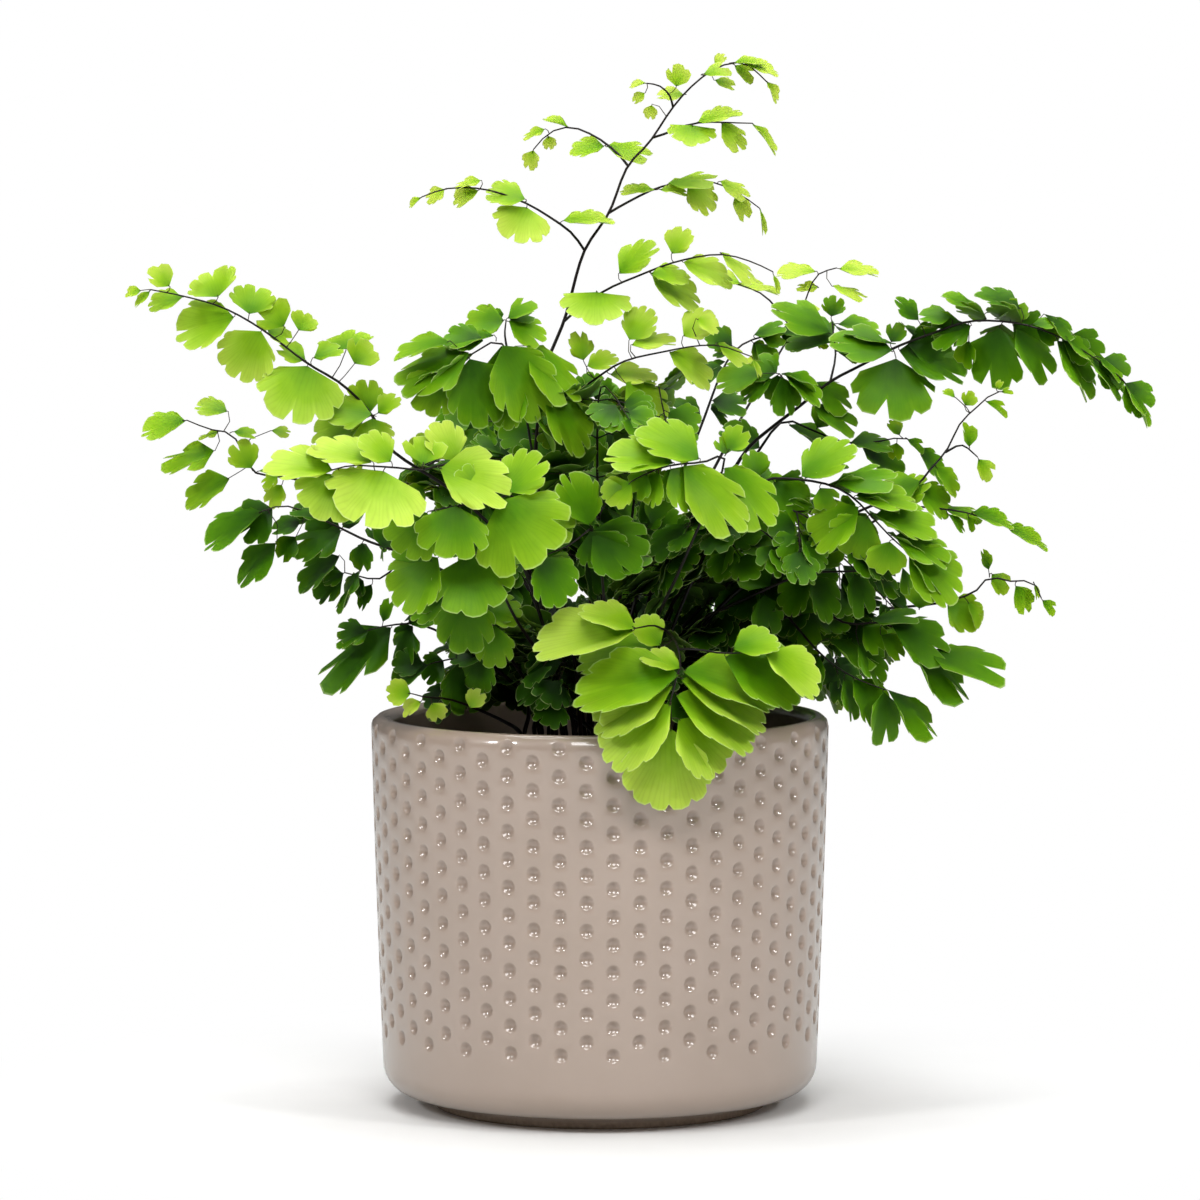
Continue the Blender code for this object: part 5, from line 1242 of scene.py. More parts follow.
def front_leaf(entry, depth):
    """A leaf from how it looks from the front: what looks short or narrow is turned away."""
    x, z, angle, length, width = entry
    base, k = place(x, z, depth)
    a = math.radians(angle)
    true_w = max(width, min(1.1 * length, WIDEST))
    true_l = max(length, width / SLENDER)
    lean = math.acos(min(1.0, length / true_l))
    roll = math.acos(min(1.0, max(0.16, width / true_w)))
    away = 1.0 if math.sin(a) > 0.25 else -1.0
    level = math.cos(lean)
    ahead = Vector((math.cos(a) * level, away * math.sin(lean), math.sin(a) * level))
    side = Vector((-math.sin(a), 0.0, math.cos(a)))
    if side.z < 0:
        side = -side
    side = (side - ahead * side.dot(ahead)).normalized()
    depthwise = ahead.cross(side)
    if depthwise.y < 0:
        depthwise = -depthwise
    across = side * math.cos(roll) + depthwise * math.sin(roll)
    return Leaf(base, ahead, across, true_l * MM * k, true_w * MM * k)


tipped = round(math.degrees(math.acos(0.5)))
print("a leaf that looks half its length is tipped by", tipped, "degrees")

# %% [markdown]
# ## Keeping the fronds apart
#
# No two leaves of a real plant share the same space. Simple prisms and tubes stand in for
# leaves and stems, and a search tree finds out whether a new one would cut into what is
# already there. Pot and mix take part too.

# %% Clash tests
def tube_solid(points, radius):
    """A square tube along points."""
    verts, faces = [], []
    for i, p in enumerate(points):
        f = (points[min(i + 1, len(points) - 1)] - points[max(i - 1, 0)]).normalized()
        u = f.orthogonal().normalized()
        v = f.cross(u)
        verts += [p + u * radius, p + v * radius, p - u * radius, p - v * radius]
    for i in range(len(points) - 1):
        for j in range(4):
            a, b = 4 * i + j, 4 * i + (j + 1) % 4
            faces.append((a, b, b + 4, a + 4))
    faces += [(3, 2, 1, 0), tuple(4 * (len(points) - 1) + j for j in range(4))]
    return verts, faces


def box_round(verts):
    """The lowest and highest coordinates of some points."""
    return [[pick(v[i] for v in verts) for i in range(3)] for pick in (min, max)]


class Thicket:
    """What is already in place, for clash tests."""

    def __init__(self):
        self.groups, self.trees = {}, {}

    def add(self, name, solid):
        self.groups.setdefault(name, []).append(solid)
        self.trees.pop(name, None)

    def tree(self, name):
        if name not in self.trees:
            verts, faces = [], []
            for vs, fs in self.groups[name]:
                base = len(verts)
                verts += vs
                faces += [tuple(base + i for i in f) for f in fs]
            self.trees[name] = (BVHTree.FromPolygons(verts, faces), *box_round(verts))
        return self.trees[name]

    def clear(self, solid, skip=(), only=None):
        verts, faces = solid
        low, high = box_round(verts)
        mine = BVHTree.FromPolygons(verts, faces)
        for name in self.groups:
            if name in skip or (only and name != only):
                continue
            tree, a, b = self.tree(name)
            if any(low[i] > b[i] or high[i] < a[i] for i in range(3)):
                continue
            if mine.overlap(tree):
                return False
        return True


class Frond:
    def __init__(self, name):
        self.name = name
        self.paths = []  # the stem, then its side branches
        self.leaves = []  # (path index, distance along it, Leaf)


def turned_solid(section):
    """A turned shape with 32 sides for clash tests."""
    mesh = bmesh.new()
    turn(mesh, section, 32, 0.0)
    mesh.verts.index_update()
    solid = [v.co.copy() for v in mesh.verts], [[v.index for v in f.verts] for f in mesh.faces]
    mesh.free()
    return solid


def inner_radius(z):
    """Radius of the pot's inner wall at a height."""
    wall = [(r, h) for r, h in POT_INNER if r > 0]
    for (r0, h0), (r1, h1) in zip(wall, wall[1:]):
        if h1 <= z <= h0:
            return r1 + (r0 - r1) * (z - h1) / (h0 - h1)
    return wall[-1][0]


def mix_profile():
    shy = GAP / MM + 0.15  # the flats of two turned shapes come closer than their corners
    low = [(r - shy, h + shy) for r, h in POT_INNER if 0 < r and h < MIX_TOP_EDGE - 2]
    side = [(inner_radius(MIX_TOP_EDGE) - shy, MIX_TOP_EDGE)] + low
    return [(0.0, 11.0 + shy)] + side[::-1] + [(CROWN_R + 4, MIX_TOP), (0.0, MIX_TOP)]


print("pot for clash tests:", len(POT_OUTER + POT_INNER), "rings, mix:", len(mix_profile()))

# %% [markdown]
# ## Growing the plant
#
# Stems come first, each from its own seat on the rootstock, then leaflets from the largest to
# the smallest. A leaflet that would cut into another one is tipped, rolled or moved a few
# millimetres until it is clear. The fronds that fill the middle are drawn at random from four
# tiers, from low and wide to high and narrow, inside the plant's outline.

# %% Growth rule
STEM_ROOM, LIMB_ROOM, STALK_ROOM = 0.0017, 0.0013, 0.0009  # m, radius that has to be free
STEM_FILLS, LIMB_FILLS, STALK_FILLS = 0.0012, 0.0009, 0.0006  # m, radius that is then taken
LEAF_ROOM, LEAF_FILLS, LEAF_GROW = 0.00072, 0.0004, 0.0003  # m, half thickness, and margin
BARE_START = 0.0032  # m, so much of a leaf may touch its own frond
SEATS, SEAT_R = 52, 0.0245  # places for stems on the rootstock, in a disc of this radius in m
SWAY, NUDGE = 2.4, 0.0006  # radians and m, from one try to the next


def outline_at(z):
    if z <= OUTLINE[0][0]:
        return OUTLINE[0][1], OUTLINE[0][2]
    for (z0, a0, b0), (z1, a1, b1) in zip(OUTLINE, OUTLINE[1:]):
        if z <= z1:
            t = (z - z0) / (z1 - z0)
            return a0 + (a1 - a0) * t, b0 + (b1 - b0) * t
    return None


def inside_outline(p):
    """True where the filling fronds may reach, on the front elevation."""
    x, z = elevation(p)
    span = outline_at(z)
    return span is not None and span[0] <= x <= span[1] and (p.y > 0.02 or z > 124)


def rooted(points, seats, rank=0):
    """Adds the free seat that suits the stem (or a later choice) and a first upright stretch."""
    want = Vector((points[0].x, points[0].y, 0)) * 0.55
    if want.length > 0.021:
        want *= 0.021 / want.length
    seat = sorted(seats, key=lambda s: (s - want).length)[rank]
    seats.remove(seat)
    r = seat.length
    foot = Vector((seat.x, seat.y, crown_height(r)))
    slope = 2 * CROWN_H * MM * r / (CROWN_R * MM) ** 2
    out = Vector((seat.x, seat.y, 0)).normalized() if r > 1e-6 else Vector((0, 0, 0))
    rise = (UP + out * slope).normalized()
    foot += rise * GAP
    return [foot, foot + rise * 0.007] + points


def stations(path, first=0):
    """Points along a stem, at fortieths of its length."""
    return [path.point(s * path.length / 40) for s in range(first, 41)]


def stem_fits(path, name, thicket):
    return thicket.clear(tube_solid(stations(path, 2), STEM_ROOM), skip=(name,))


def laid_out_frond(name, seats, thicket):
    """Stem and side branches of a frond from the plan."""
    frond = Frond(name)
    stem, limbs, _ = FRONDS[name]
    points = [place(x, z, y)[0] for x, z, y in stem]
    for trial in range(100):
        way = Vector((math.cos(trial * SWAY), math.sin(trial * SWAY), 0))
        bend = way * (NUDGE * (trial % 20))
        free = list(seats)
        bent = [p + bend * (1.0, 0.5, 0.2, 0.0)[min(i, 3)] for i, p in enumerate(points)]
        path = Path(rooted(bent, free, trial // 20))
        if stem_fits(path, name, thicket):
            break
    else:
        print("stem clash:", name)
    seats[:] = free
    frond.paths.append(path)
    thicket.add(name, tube_solid(stations(path), STEM_FILLS))
    for limb in limbs:
        points = [place(x, z, y)[0] for x, z, y in limb]
        s = path.nearest(points[0], 0.02)
        for trial in range(30):
            way = Vector((0, math.cos(trial * SWAY), math.sin(trial * SWAY) * 0.4))
            bend = way * (NUDGE * trial)
            branch = Path([path.point(s)] + [p + bend for p in points[1:]])
            run = [branch.point(k * branch.length / 16) for k in range(17)]
            if thicket.clear(tube_solid(run, LIMB_ROOM), skip=(name,)):
                break
        else:
            print("limb clash:", name)
        frond.paths.append(branch)
        thicket.add(name, tube_solid(run, LIMB_FILLS))
    return frond


def filling_frond(number, seats, thicket, rng):
    """The stem of a frond in one of four tiers, or None where there is no room."""
    name = "fill_%02d" % (number + 1)
    low = 0.118  # m, height at which a stem starts to lean out
    for _ in range(60):
        around = number * GOLDEN + 0.6 + rng.uniform(-0.25, 0.25)
        reach, top, drop = ([rng.uniform(*span) for span in tiers][number % 4] * MM
                            for tiers in (REACHES, TOPS, DROPS))
        out = Vector((math.cos(around), math.sin(around), 0))
        side = Vector((-out.y, out.x, 0)) * rng.uniform(-0.008, 0.008)
        points = [out * reach * 0.22 + Vector((0, 0, low + (top - low) * 0.30)),
                  out * reach * 0.48 + side + Vector((0, 0, low + (top - low) * 0.78)),
                  out * reach * 0.76 + side + Vector((0, 0, top)),
                  out * reach + Vector((0, 0, top - drop))]
        if not inside_outline(points[-1]) or not inside_outline(points[-2]):
            continue
        free = list(seats)
        path = Path(rooted(points, free))
        if stem_fits(path, name, thicket):
            seats[:] = free
            frond = Frond(name)
            frond.paths.append(path)
            thicket.add(name, tube_solid(stations(path), STEM_FILLS))
            return frond
    print("no room for", name)
    return None


print("seats:", SEATS, "in a disc", round(2 * SEAT_R / MM), "mm across")

# %% [markdown]
# ## Setting the leaves
#
# A laid-out leaflet joins the branch that passes nearest to it on the front elevation. Each
# frond in the middle gets five pairs of leaf places and one at its tip. Every place is tried
# as it is first, and then tipped, rolled, smaller, or moved, until nothing is in its way.

# %% Leaves for the fronds
def both_ways(turns):
    return [(a * q, b * q) for a, b in turns for q in (1, -1)]


TILTS = [(0, 0)] + both_ways(((7, 0), (0, 9), (14, 0), (0, 18), (12, 12), (12, -12), (22, 0), (0, 28)))
TRIES = [(a, b, f, n) for f in (1, 0.9, 0.75) for n in (0, 2, -2, 4, -4, 7, -7) for a, b in TILTS]
FILL_TILTS = both_ways(((0, 0), (12, 0), (0, 14), (22, 12), (22, -12), (34, 0), (0, 30)))
FILL_TRIES = [(a, b, f, 0) for f in (1, 0.85, 0.7, 0.55) for a, b in FILL_TILTS]


def leaf_fits(trial, root, frond, thicket):
    """True where nothing is in a leaf's way; then the leaf and its stalk take their room."""
    near = (trial.base - root).length < LONG_STALK * MM
    start = root if near else None
    own = {"only": frond.name}
    others = {"skip": (frond.name,)}
    if not thicket.clear(trial.solid(LEAF_ROOM, LEAF_GROW, 0.0, start), **others):
        return False
    if not thicket.clear(trial.solid(LEAF_ROOM, LEAF_GROW, BARE_START), **own):
        return False
    if not near:
        run = [root.lerp(trial.base, t) for t in (0.0, 0.35, 0.7, 1.0)]
        if not thicket.clear(tube_solid(run, STALK_ROOM), **others):
            return False
        if not thicket.clear(tube_solid(run[1:], STALK_ROOM), **own):
            return False
        thicket.add(frond.name, tube_solid(run, STALK_FILLS))
    thicket.add(frond.name, trial.solid(LEAF_FILLS, 0.0, 0.0, start))
    return True


def set_leaf(frond, index, s, leaf, thicket, tries, fits=None):
    root = frond.paths[index].point(s)
    for lean, roll, scale, nearer in tries:
        trial = leaf.turned(lean, roll, scale, nearer)
        if fits and not all(fits(p) for p in trial.outline()):
            continue
        if leaf_fits(trial, root, frond, thicket):
            trial.wish = leaf  # the way it was meant to point before it had to give way
            frond.leaves.append((index, s, trial))
            return True
    return False


def set_laid_out_leaves(frond, thicket):
    """Sets the planned leaflets from the largest to the smallest; returns how many fitted."""
    for entry in sorted(FRONDS[frond.name][2], key=lambda e: -e[3] * e[4]):
        near = []
        for index, path in enumerate(frond.paths):
            start = path.length * 0.3 if index == 0 else 0.001
            for step in range(61):
                s = start + (path.length - start) * step / 60
                p = path.point(s)
                x, z = elevation(p)
                near.append((math.hypot(x - entry[0], z - entry[1]), index, s, p.y / MM))
        _, index, s, depth = min(near)
        if not set_leaf(frond, index, s, front_leaf(entry, depth), thicket, TRIES):
            print("left out:", frond.name, entry)
    return len(frond.leaves)


def set_filling_leaves(frond, thicket, rng):
    """Sets pairs of leaf places along a filling frond and one at its tip."""
    path = frond.paths[0]
    pairs = 5
    for j in range(pairs + 1):
        t = 0.46 + 0.50 * j / pairs
        s = path.length * (t if j < pairs else 1.0)
        f = path.ahead(min(s, path.length - 0.001), 0.0012)
        up = (UP - f * f.z)
        up = (up + Vector((0, -0.25, 0))).normalized()
        left = up.cross(f).normalized()
        size = (23 - 7.0 * j / pairs) * MM
        for turn_by in ((0.0,) if j == pairs else (62.0, -62.0)):
            a = math.radians(turn_by + rng.uniform(-10, 10))
            droop = Vector((0, 0, rng.uniform(-0.30, 0.05)))
            ahead = f * math.cos(a) + left * math.sin(a) + droop
            across = up.cross(ahead).normalized()
            base = path.point(s) + ahead.normalized() * (0.0025 if j < pairs else 0.0)
            long, wide = size * rng.uniform(0.9, 1.1), size * rng.uniform(0.95, 1.15)
            leaf = Leaf(base, ahead, across, long, wide)
            leaf.across = (leaf.across - leaf.ahead * leaf.across.dot(leaf.ahead)).normalized()
            set_leaf(frond, 0, s, leaf, thicket, FILL_TRIES, inside_outline)
    return len(frond.leaves)


def grow():
    """Lays out every frond, each clear of all that is in place before it."""
    rng = random.Random(FILL_SEED)
    thicket = Thicket()
    thicket.add("pot", turned_solid(POT_OUTER + POT_INNER))
    thicket.add("mix", turned_solid(mix_profile()))
    seats = []
    for i in range(SEATS):
        r = SEAT_R * math.sqrt((i + 0.5) / SEATS)
        seats.append(Vector((r * math.cos(i * GOLDEN), r * math.sin(i * GOLDEN), 0)))
    laid = [laid_out_frond(name, seats, thicket) for name in FRONDS]
    filling = [filling_frond(i, seats, thicket, rng) for i in range(FILL_COUNT)]
    filling = [frond for frond in filling if frond]
    kept = sum(set_laid_out_leaves(frond, thicket) for frond in laid)
    filled = sum(set_filling_leaves(frond, thicket, rng) for frond in filling)
    planned = sum(len(plan[2]) for plan in FRONDS.values())
    print("leaves set:", kept, "of", planned, "and filling:", filled)
    return [frond for frond in laid + filling if frond.leaves]


fronds = grow()
print("grown:", len(fronds), "fronds")
assert len(fronds) == len([n for n in frame["nodes"] if n.startswith("frond_")])

# %% [markdown]
# ## The shape of a leaflet
#
# A maidenhair leaflet is a thin fan: straight sides meet in a wedge at the stalk, and the outer
# margin is cut into rounded lobes, a few of them split deeper than the rest. No two are alike,
# so there are fourteen patterns: broad fans for large leaflets, simpler ones for small leaflets
# and young tips, long one-sided ones, deeply cleft ones for old, shaded fronds, and evenly
# scalloped ones for the frond over the rim. Each is a closed sheet, gently cupped and ruffled,
# built 1 unit long and 1 unit wide, and a map of its own (turn across the fan, distance from
# the stalk) tells the material where veins and margin run.

# %% Leaflet patterns
PATTERNS = [  # name, lobes, margin's ends in degrees, points in a lobe, notch, deep notches, cup, ruffle
    ("broad_a", 7, -134, 134, 4, 0.100, (2, 5), 0.07, 0.030),
    ("broad_b", 6, -126, 140, 4, 0.120, (3,), 0.04, 0.040),
    ("broad_c", 8, -138, 128, 4, 0.090, (1, 4, 6), 0.09, 0.025),
    ("broad_d", 6, -142, 124, 4, 0.130, (2, 4), -0.05, 0.045),
    ("small_a", 4, -128, 128, 2, 0.130, (2,), 0.09, 0.030),
    ("small_b", 5, -134, 122, 2, 0.120, (3,), 0.04, 0.040),
    ("small_c", 3, -122, 126, 3, 0.170, (1,), 0.12, 0.020),
    ("tender_a", 5, -120, 130, 2, 0.090, (2,), 0.14, 0.030),
    ("long_a", 7, -112, 146, 4, 0.095, (3, 5), 0.06, 0.035),
    ("long_b", 7, -146, 112, 4, 0.095, (2, 4), 0.06, 0.035),
    ("cleft_a", 4, -124, 134, 4, 0.170, (2,), 0.05, 0.050),
    ("cleft_b", 5, -132, 120, 3, 0.160, (1, 3), -0.04, 0.060),
    ("shingle_a", 8, -116, 142, 3, 0.065, (), 0.10, 0.012),
    ("shingle_b", 8, -142, 116, 3, 0.065, (), 0.10, 0.012),
]
SHEET = 0.014  # thickness as a share of the length
MID = 0.52  # how far from the stalk the inner arc lies
CENTRE = 0.52  # how far from the stalk the fan's middle lies
CRISP = math.radians(60)  # edges turned by more than this aren't smoothed


def margin_point(angle, pull):
    """A point of the outer margin; pull draws it towards the fan's middle."""
    a = math.radians(angle)
    reach_x, reach_y = 0.5 * (1 - pull), (1 - CENTRE) * (1 - pull)
    return Vector((reach_x * math.sin(a), CENTRE + reach_y * math.cos(a)))


def fan_lines(rng, lobes, start, end, per_lobe, notch, deep):
    """The outer margin and the inner arc. Each point is (place, turn across the fan, distance out)."""
    widths = [rng.uniform(0.8, 1.2) for _ in range(lobes)]
    cuts = [start + (end - start) * sum(widths[:i]) / sum(widths) for i in range(lobes + 1)]
    margin, inner = [], []
    for i in range(lobes + 1):
        bite = notch * (0.2 if i in (0, lobes) else 1.9 if i in deep else rng.uniform(0.7, 1.2))
        edge_on = margin_point(cuts[i], 0.04)
        across = (cuts[i] - start) / (end - start)
        margin.append((edge_on * (1 - bite), across, 1.0))
        inner.append((edge_on * MID, across, MID))
        if i == lobes:
            break
        for k in range(per_lobe):
            share = (k + 0.6) / (per_lobe + 0.2)
            angle = cuts[i] + (cuts[i + 1] - cuts[i]) * share
            round_off = 1.1 * notch * abs(2 * share - 1) ** 2.2 + rng.uniform(0, 0.015)
            margin.append((margin_point(angle, round_off), (angle - start) / (end - start), 1.0))
    return margin, inner


def leaflet(order, name, lobes, start, end, per_lobe, notch, deep, cup, ruffle):
    """A closed lobed sheet with its own map."""
    rng = random.Random(order * 17 + 5)
    margin, inner = fan_lines(rng, lobes, start, end, per_lobe, notch, deep)
    stalk = (Vector((0.0, 0.0)), 0.5, 0.0)
    mesh = bmesh.new()
    fan_map = mesh.loops.layers.uv.new("fan")
    under_layer = mesh.verts.layers.float.new("under")
    known = {}

    def lift(p, across, out):
        """Height of the sheet: cupped across, drooping outwards, ruffled at the margin."""
        phase = across * lobes * math.pi + order
        return (cup * (2 * p.x) ** 2 - 0.13 * p.y ** 2 + ruffle * out ** 2 * math.sin(phase)
                + 0.02 * math.sin(across * 9 + order))

    def vert(spec, under):
        p, across, out = spec
        key = (round(p.x, 6), round(p.y, 6), under)
        if key not in known:
            thick = SHEET * (0.5 - 0.25 * out)
            z = lift(p, across, out)
            known[key] = mesh.verts.new((p.x, p.y, z - thick if under else z + thick))
            known[key][under_layer] = float(under)
        return known[key]

    def add(specs, under):
        corners = [vert(s, under) for s in specs]
        face = mesh.faces.new(corners[::-1] if under else corners)
        values = {vert(s, under): (s[1], s[2]) for s in specs}
        for loop in face.loops:
            loop[fan_map].uv = values[loop.vert]

    step = per_lobe + 1
    for under in (False, True):
        for i in range(lobes):
            arc = margin[i * step:i * step + step + 1]
            split = (len(arc) - 1) // 2
            add([stalk, inner[i + 1], inner[i]], under)
            for k in range(split):
                add([inner[i], arc[k + 1], arc[k]], under)
            add([inner[i], inner[i + 1], arc[split]], under)
            for k in range(split, len(arc) - 1):
                add([inner[i + 1], arc[k + 1], arc[k]], under)
    rim = [stalk, inner[0]] + margin + [inner[-1]]
    for a, b in zip(rim, rim[1:] + rim[:1]):
        corners = [vert(a, False), vert(b, False), vert(b, True), vert(a, True)]
        face = mesh.faces.new(corners)
        for loop, s in zip(face.loops, (a, b, b, a)):
            loop[fan_map].uv = (s[1], s[2])
    bmesh.ops.recalc_face_normals(mesh, faces=mesh.faces)
    for edge in mesh.edges:
        edge.smooth = edge.calc_face_angle() < CRISP  # the margin stays crisp
    return as_object(mesh, "leaflet_%02d_%s" % (order, name))


leaflet_shapes = [leaflet(i, *pattern) for i, pattern in enumerate(PATTERNS)]
print("patterns:", {s.name: len(s.data.polygons) for s in leaflet_shapes})
print("open edges:", [open_edges(s) for s in leaflet_shapes])

# %% [markdown]
# ## Leaf and stalk
#
# A maidenhair leaf is thinner than paper, so light comes through it: a leaf against the light
# glows yellow-green, and one in the shade of others is deep green. The sheet is closed, so
# subsurface scattering with a mean path longer than the leaf is thick does this. A young leaf
# is pale and yellowish, an old one blue-green and darker, and each leaflet carries its own
# tone. Some light and shade is also painted into the tone: leaflets low in the middle, near the
# rim and behind others are painted darker, and the frond over the rim is painted paler towards
# its lit tip. Colour deepens towards the wedge, fine veins fork towards the margin, and the
# margin itself is a thin paler line. The leaf's skin has a faint satin sheen.

# %% Living leaf
VEINS = 53.4  # turn of the vein wave across the inner fan; there are twice as many further out


def living_leaf():
    """A thin, satin, living leaf that lets light through."""
    material, shader, add = new_material("living_fern_leaf")
    tone = add("ShaderNodeAttribute", attribute_name="tone").outputs["Fac"]
    under = add("ShaderNodeAttribute", attribute_name="under").outputs["Fac"]
    fan = add(SPLIT, [add("ShaderNodeUVMap", uv_map="fan")]).outputs
    place = add("ShaderNodeTexCoord").outputs["Object"]
    blotch = add(NOISE, {"Vector": place, "Scale": 170.0, "Detail": 3.0})  # patches of 6 mm

    # tone, with blotches, a darker wedge and a brighter margin
    uneven = add(SUBTRACT, [blotch, 0.5])
    drift = add(MULTIPLY_ADD, [uneven, 0.16, tone])
    outwards = add(SUBTRACT, [fan["Y"], 0.62])
    shade = add(MULTIPLY_ADD, [outwards, 0.42, drift])
    green = add(RAMP, [shade], [(0.0, "#143203"), (0.25, "#2E5C02"), (0.5, "#578C06"),
                                (0.75, "#88B31A"), (1.0, "#B8D54C")])

    # veins: fine lines that double in number half-way out
    lines = []
    for number in (VEINS, 2 * VEINS):
        wave = add(SINE, [add(MULTIPLY, [fan["X"], number])])
        crest = add(ABSOLUTE, [wave])
        lines.append(add(POWER, [crest, 8.0]))
    outer = add(MAP_RANGE, {"Value": fan["Y"], "From Min": 0.4, "From Max": 0.62})
    veins = add(MIX_VALUES, {"Factor": outer, 2: lines[0], 3: lines[1]})
    faint = add(MULTIPLY, [veins, 0.09])
    veined = add(MIX_COLOURS, {"Factor": faint, FIRST: green, SECOND: linear("#2A5409")})
    rim = add(MAP_RANGE, {"Value": fan["Y"], "From Min": 0.972, "From Max": 0.995, "To Max": 0.4})
    edged = add(MIX_COLOURS, {"Factor": rim, FIRST: veined.outputs[MIXED], SECOND: linear("#CFE29B")})
    below = add(MULTIPLY, [under, 0.2])
    pale = add(MIX_COLOURS, {"Factor": below, FIRST: edged.outputs[MIXED], SECOND: linear("#8CAA55")})
    feed(shader, {"Base Color": pale.outputs[MIXED], "Roughness": 0.46, "IOR": 1.42,
                  "Specular IOR Level": 0.16, "Subsurface Weight": 0.5,
                  "Subsurface Radius": (0.9, 1.0, 0.35), "Subsurface Scale": 0.5 * MM})
    return material


def wiry_stalk():
    """Polished purple-black wire; young twigs and leaf stalks are greener."""
    material, shader, add = new_material("polished_wiry_stalk")
    tone = add("ShaderNodeAttribute", attribute_name="tone").outputs["Fac"]
    place = add("ShaderNodeTexCoord").outputs["Object"]
    streak = add(NOISE, {"Vector": place, "Scale": 260.0, "Detail": 2.0})  # streaks of 4 mm
    uneven = add(SUBTRACT, [streak, 0.5])
    age = add(MULTIPLY_ADD, [uneven, 0.3, tone])
    bark = add(RAMP, [age], [(0.0, "#0D0708"), (0.35, "#1F130F"), (0.7, "#4C4016"),
                             (1.0, "#7E9A34")])
    feed(shader, {"Base Color": bark, "Roughness": 0.36, "Specular IOR Level": 0.25})
    return material


leaf_skin, stalk_skin = living_leaf(), wiry_stalk()
print("materials:", leaf_skin.name, stalk_skin.name)

# %% [markdown]
# ## Dressing the fronds
#
# Each frond becomes one piece. Its stem and side branches are chains that taper from about a
# millimetre and a half to less than half of one. Every laid-out leaflet sits on a hair-thin
# stalk, and in the fullest fronds most have a smaller partner behind them, painted a little
# darker as painted shade. In the fronds that fill the middle, each leaf place is a short side
# branch with five or six small leaflets, and three short branches near the rim lean out from
# each, painted darkest as painted shade.

# %% Leaflets and stalks of one frond
TONES = {  # 0 is the darkest, 1 the palest
    "tall": 0.84, "left_long": 0.73, "spray": 0.77, "upper": 0.44, "front_a": 0.58,
    "front_b": 0.38, "front_c": 0.52, "front_d": 0.44, "right_bright": 0.57, "over_rim": 0.57,
    "right_long": 0.37, "right_mid": 0.50, "right_low": 0.37, "right_low_b": 0.30,
    "left_mid": 0.66, "left_low": 0.18, "left_rim": 0.20, "right_twig": 0.62,
    "right_twig_b": 0.38, "right_edge": 0.50, "right_sparse": 0.52, "rim_sprout": 0.80,
    "back_pale": 0.94, "back_dark": 0.28,
}
BROAD, SMALL, TENDER = (1, 2, 3, 4), (5, 6, 7), (8,)
LONG, CLEFT, SHINGLE = (9, 10), (11, 12), (13, 14)
CLEFT_FRONDS = {"left_mid", "left_low", "left_rim", "right_low", "right_low_b", "right_long",
                "back_dark"}
STEM_R, TIP_R, LEAF_STALK_R = 0.72 * MM, 0.20 * MM, 0.15 * MM
FULLER = {"tall": 0.98, "left_mid": 0.96, "left_long": 1.06}  # against its plate in the frame
FULL = 1.12  # the same for every other frond
WIDER = {"over_rim": 1.22, "front_a": 1.08, "spray": 1.08}  # and across only
LAYERED = {"upper", "right_mid", "right_bright", "right_long", "left_low", "left_rim", "front_b",
           "front_c", "front_d", "back_dark"}  # fronds whose leaflets lie in two layers
LEAF_START = 0.0003  # m, a leaflet starts this far beyond its stalk's end


def pattern_for(length, width, rng, cleft=False):
    if length > 1.7 * width and length > 12 * MM:
        return rng.choice(LONG)
    if length > 9.5 * MM:
        return rng.choice(CLEFT + BROAD[:2] if cleft else BROAD)
    return rng.choice(SMALL + CLEFT if cleft else SMALL + TENDER)


def bent_stalk(a, b, way, tone):
    """A thin stalk from a to b that arrives pointing along way."""
    middle = a.lerp(b, 0.55) - way * (b - a).length * 0.18
    return [(a, LEAF_STALK_R * 1.2, tone), (middle, LEAF_STALK_R, tone), (b, LEAF_STALK_R, tone),
            (b + way * 0.0009, LEAF_STALK_R * 0.8, tone)]


def facing_light(ahead, across):
    """Turns the leaflet's upper side up and to the front."""
    return -across if across.cross(ahead).dot(Vector((0.0, -0.45, 0.9))) < 0 else across


def square_to(across, ahead):
    """The part of across that is square to ahead."""
    return (across - ahead * across.dot(ahead)).normalized()


def twig(line, side_way, long, count, tone, rng):
    """A short branch along line with leaflets on both sides and one at its tip."""
    thick = 0.27 * MM
    chains = [[(line.point(line.length * t), thick * (1 - 0.4 * t), 0.1 + 0.3 * t)
               for t in np.linspace(0, 1, 7)]]
    places = []
    for k in range(count):
        last = k == count - 1
        t = 1.0 if last else 0.30 + 0.62 * (k / (count - 1))
        spot = line.point(line.length * t)
        onward = (spot - line.point(line.length * (t - 0.12))).normalized()
        across = square_to(side_way, onward)
        up = across.cross(onward)
        hand = 0.0 if last else (1.0 if k % 2 else -1.0)
        angle = math.radians(hand * rng.uniform(48, 70) + rng.uniform(-8, 8))
        turn_by = Matrix.Rotation(angle, 3, up)
        ahead = (turn_by @ onward + Vector((0, 0, rng.uniform(-0.35, 0.1)))).normalized()
        across = square_to(turn_by @ across, ahead)
        across = Matrix.Rotation(math.radians(rng.uniform(-25, 25)), 3, ahead) @ across
        size = long * rng.uniform(0.85, 1.15) * (1.1 - 0.2 * t)
        wide = size * rng.uniform(1.0, 1.3)
        stalk_end = spot + ahead * 0.0014
        chains.append(bent_stalk(line.point(line.length * min(t, 0.99)), stalk_end, ahead, 0.3))
        places.append((stalk_end + ahead * LEAF_START, ahead, facing_light(ahead, across),
                       (wide, size, size), pattern_for(size, wide, rng),
                       tone + rng.uniform(-0.07, 0.09)))
    return places, chains


